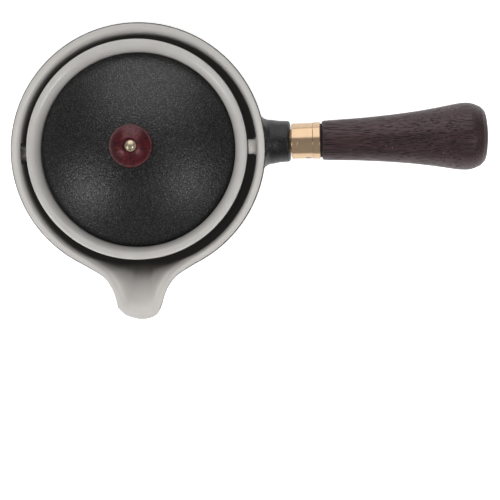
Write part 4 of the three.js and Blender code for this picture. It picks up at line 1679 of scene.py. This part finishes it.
@dataclass
class Handle:
    """Ferrule, gasket and grip, along the handle's axis from the bowl's side."""

    bore: float = 2.8
    sleeve_start: float = 13.55
    sleeve_length: float = 10.65
    sleeve_radius: float = 9.05
    spigot_radius: float = 5.9
    spigot_length: float = 10.0
    collar_start: float = 24.25
    collar_length: float = 3.6
    collar_radius: float = 9.35
    gasket_start: float = 27.87
    gasket_length: float = 0.75
    gasket_radius: float = 8.5
    grip_start: float = 28.7
    grip_length: float = 80.6
    grip_radius: float = 16.6
    grip_bore_depth: float = 30.0
    screw_radius: float = 1.0
    screw_back: float = 2.3
    screw_turn: float = 72.0

    def sleeve(self) -> None:
        """The brass sleeve with its spigot and the hole for the set screw."""
        start, end = self.sleeve_start, self.sleeve_start + self.sleeve_length
        ring = rounded(
            [
                (self.bore, start - self.spigot_length, 0.2),
                (self.spigot_radius, start - self.spigot_length, 0.5),
                (self.spigot_radius, start, 0.2),
                (self.sleeve_radius, start, 0.45),
                *[(self.sleeve_radius, end - back, 0) for back in np.arange(5.0, 1.0, -0.4)],
                (self.sleeve_radius, end, 0.12),
                (self.bore, end, 0.2),
            ],
            5,
        )
        sleeve = turned("ferrule_sleeve_turned", ring, 128, 35)
        size = self.sleeve_radius
        cut(sleeve, self.screw_rod(size - 4.4, size + 2, self.screw_radius + 0.22))
        smooth(sleeve, 35)
        finished(sleeve, "sleeve_brass", BRASS)
        place(sleeve, PLAN.handle, Body.KETTLE, "brass", "ferrule_sleeve")

    def screw_rod(self, low: float, high: float, radius: float, sides: int = 32) -> bpy.types.Object:
        """A rod on the set screw's line.

        Args:
            low: Distance of its inner end from the handle's axis.
            high: Distance of its outer end.
            radius: Its radius.
            sides: Its number of sides.

        Returns:
            The rod.
        """
        turn = math.radians(self.screw_turn)
        way = Vector((-math.cos(turn), -math.sin(turn), 0))
        spot = Vector((0, 0, self.sleeve_start + self.sleeve_length - self.screw_back))
        return rod_between(spot + way * low, spot + way * high, radius, sides)

    def screw(self) -> None:
        """The set screw with its hexagon socket."""
        face = self.sleeve_radius - 0.15
        screw = self.screw_rod(face - 4.2, face, self.screw_radius)
        screw.name = "ferrule_screw_turned"
        corner = math.radians(60)
        apply_modifier(screw, "BEVEL", width=0.16, segments=2, limit_method="ANGLE", angle_limit=corner)
        cut(screw, self.screw_rod(face - 1.0, face + 1, 0.55, 6))
        smooth(screw, 35)
        finished(screw, "screw_steel", ROD_STEEL)
        place(screw, PLAN.handle, Body.KETTLE, "steel", "ferrule_screw")

    def ring(self, start: float, length: float, radius: float, edge: float) -> list[Point]:
        """Outline of a ring on the rod.

        Args:
            start: Where it starts on the handle's axis.
            length: Its length.
            radius: Its outer radius.
            edge: Round of its outer edges.

        Returns:
            The points of the outline.
        """
        corners = [
            (self.bore, start, 0.1),
            (radius, start, edge),
            (radius, start + length, edge),
            (self.bore, start + length, 0.1),
        ]
        return rounded(corners, 5)

    def rings(self) -> None:
        """The collar and the gasket."""
        outline = self.ring(self.collar_start, self.collar_length, self.collar_radius, 0.22)
        collar = finished(turned("ferrule_collar_turned", outline, 128), "collar_brass", BRASS)
        place(collar, PLAN.handle, Body.KETTLE, "brass", "ferrule_collar")
        outline = self.ring(self.gasket_start, self.gasket_length, self.gasket_radius, 0.2)
        gasket = finished(turned("handle_gasket_ring", outline, 96), "gasket_rubber", DARK_RUBBER)
        place(gasket, PLAN.handle, Body.KETTLE, "dark_rubber", "handle_gasket")

    def grip(self) -> None:
        """The turned wooden grip."""
        start = self.grip_start
        shares = (
            *((0.598, 0.015), (0.62, 0.12), (0.643, 0.23), (0.683, 0.35), (0.733, 0.47), (0.80, 0.592)),
            *((0.885, 0.71), (0.949, 0.785), (0.987, 0.835), (1.0, 0.88), (0.988, 0.905), (0.958, 0.927)),
        )
        side = through([(self.grip_radius * r, start + self.grip_length * z) for r, z in shares], 70)
        end = start + self.grip_length
        butt = rounded(
            [
                (*side[-1], 0),
                (0.888 * self.grip_radius, end - 3.2, 2.0),
                (0.76 * self.grip_radius, end - 1.0, 2.5),
                (0.45 * self.grip_radius, end, 4.0),
                (0, end, 0),
            ],
            7,
        )[1:]
        face = [(self.bore, start, 0.15), (0.592 * self.grip_radius, start, 1.1)]
        front = rounded([*face, (*side[2], 0)], 8)[:-1]
        tail = [(0, start + self.grip_bore_depth), (self.bore, start + self.grip_bore_depth)]
        grip = turned("handle_grip_turned", [*front, *side[2:], *butt, *tail], 144, 35)
        gloss = {"Specular_IOR_Level": 0.65, "Specular_Tint": (1.0, 0.80, 0.83, 1.0)}
        finished(grip, "grip_wood", DARK_WOOD, **gloss)
        place(grip, PLAN.handle, Body.KETTLE, "dark_wood", "handle_grip")

    def build(self, nodes: Mapping[str, bpy.types.Object]) -> None:
        """Builds and dresses the handle.

        Args:
            nodes: The solids by name; the hidden rod keeps its own.
        """
        self.sleeve()
        self.screw()
        self.rings()
        self.grip()
        shader = Shader("rod_steel")
        dress_node(nodes["handle_rod"], shader, ROD_STEEL.layer(shader))


@dataclass
class Studio:
    """Floor, lights and camera. Places in metres, what the photograph gave in pixels."""

    focal_pixels: float = 877.0
    image_pixels: float = 500.0
    axis_pixel: Point = (249.0, 188.4)
    camera_spot: tuple[float, float, float] = (0.05405, -0.02081, 0.5005)
    object_turn: float = 1.76
    floor_size: float = 6.0
    floor_glow: float = 0.7
    sky_glow: float = 0.22
    aim_height: float = 0.07
    sensor: float = 36.0

    def floor(self) -> None:
        """A plain pale floor."""
        bpy.ops.object.select_all(action="DESELECT")
        bpy.ops.mesh.primitive_plane_add(size=self.floor_size, location=(0, 0, 0))
        floor = bpy.context.object
        floor.name = "studio_floor"
        shader = Shader("studio_floor")
        colour = shader.blend(shader.noise(180, 2), (0.86, 0.86, 0.86), (0.88, 0.88, 0.88))
        shader.feed(shader.surface.inputs["Emission Color"], colour)
        dress(floor, shader, Layer(colour, 0.9), Emission_Strength=self.floor_glow)

    def light(self, name: str, spot: Corner, size: Point, watts: float, kind: Glow = Glow.FULL) -> None:
        """A soft box that faces the kettle.

        Args:
            name: Its name.
            spot: Where it hangs.
            size: Its width and height.
            watts: Its power.
            kind: Whether it lights, shows in gloss, or both.
        """
        lamp = bpy.data.lights.new(name, "AREA")
        lamp.shape = "RECTANGLE"
        lamp.size, lamp.size_y = size
        lamp.energy = watts
        holder = bpy.data.objects.new(name, lamp)
        holder.location = spot
        way = Vector((0, 0, self.aim_height)) - Vector(spot)
        holder.rotation_euler = way.to_track_quat("-Z", "Y").to_euler()
        holder.visible_glossy = kind is not Glow.SOFT
        holder.visible_diffuse = kind is not Glow.GLOSS
        bpy.context.scene.collection.objects.link(holder)

    def camera(self) -> None:
        """The camera, straight above, with the photograph's framing."""
        lens = bpy.data.cameras.new("camera")
        lens.sensor_width = self.sensor
        lens.lens = self.sensor * self.focal_pixels / self.image_pixels
        lens.shift_x = (self.image_pixels / 2 - self.axis_pixel[0]) / self.image_pixels
        lens.shift_y = -(self.image_pixels / 2 - self.axis_pixel[1]) / self.image_pixels
        lens.clip_start = 0.01
        holder = bpy.data.objects.new("camera", lens)
        holder.location = self.camera_spot
        holder.rotation_euler = (0, 0, math.radians(-self.object_turn))
        bpy.context.scene.collection.objects.link(holder)
        bpy.context.scene.camera = holder

    def build(self) -> None:
        """Builds the studio."""
        scene = bpy.context.scene
        scene.view_settings.view_transform = "Standard"
        world = bpy.data.worlds.new("studio")
        world.use_nodes = True
        background = world.node_tree.nodes["Background"]
        background.inputs["Color"].default_value = (1, 1, 1, 1)
        background.inputs["Strength"].default_value = self.sky_glow
        scene.world = world
        self.floor()
        self.light("left_box", (-0.69, -0.39, 0.84), (0.34, 0.34), 1.95)
        self.light("right_box", (0.48, -0.38, 0.99), (0.33, 0.33), 1.75)
        self.light("back_panel", (0.0, 1.12, 0.93), (1.6, 1.9), 9.0)
        self.light("back_sheen", (0.0, 1.14, 0.94), (1.6, 1.9), 5.5, Glow.GLOSS)
        self.light("front_soft", (0.0, -0.95, 0.80), (1.3, 1.0), 8.5, Glow.SOFT)
        self.camera()


def main() -> None:
    """Builds the kettle's pieces in order, then the studio."""
    logging.basicConfig(level=logging.INFO, format="%(name)s: %(message)s")
    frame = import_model()
    OuterBowl().build()
    BrewingBall().build()
    Lid().build()
    Handle().build(frame["nodes"])
    Studio().build()


if __name__ == "__main__":
    main()
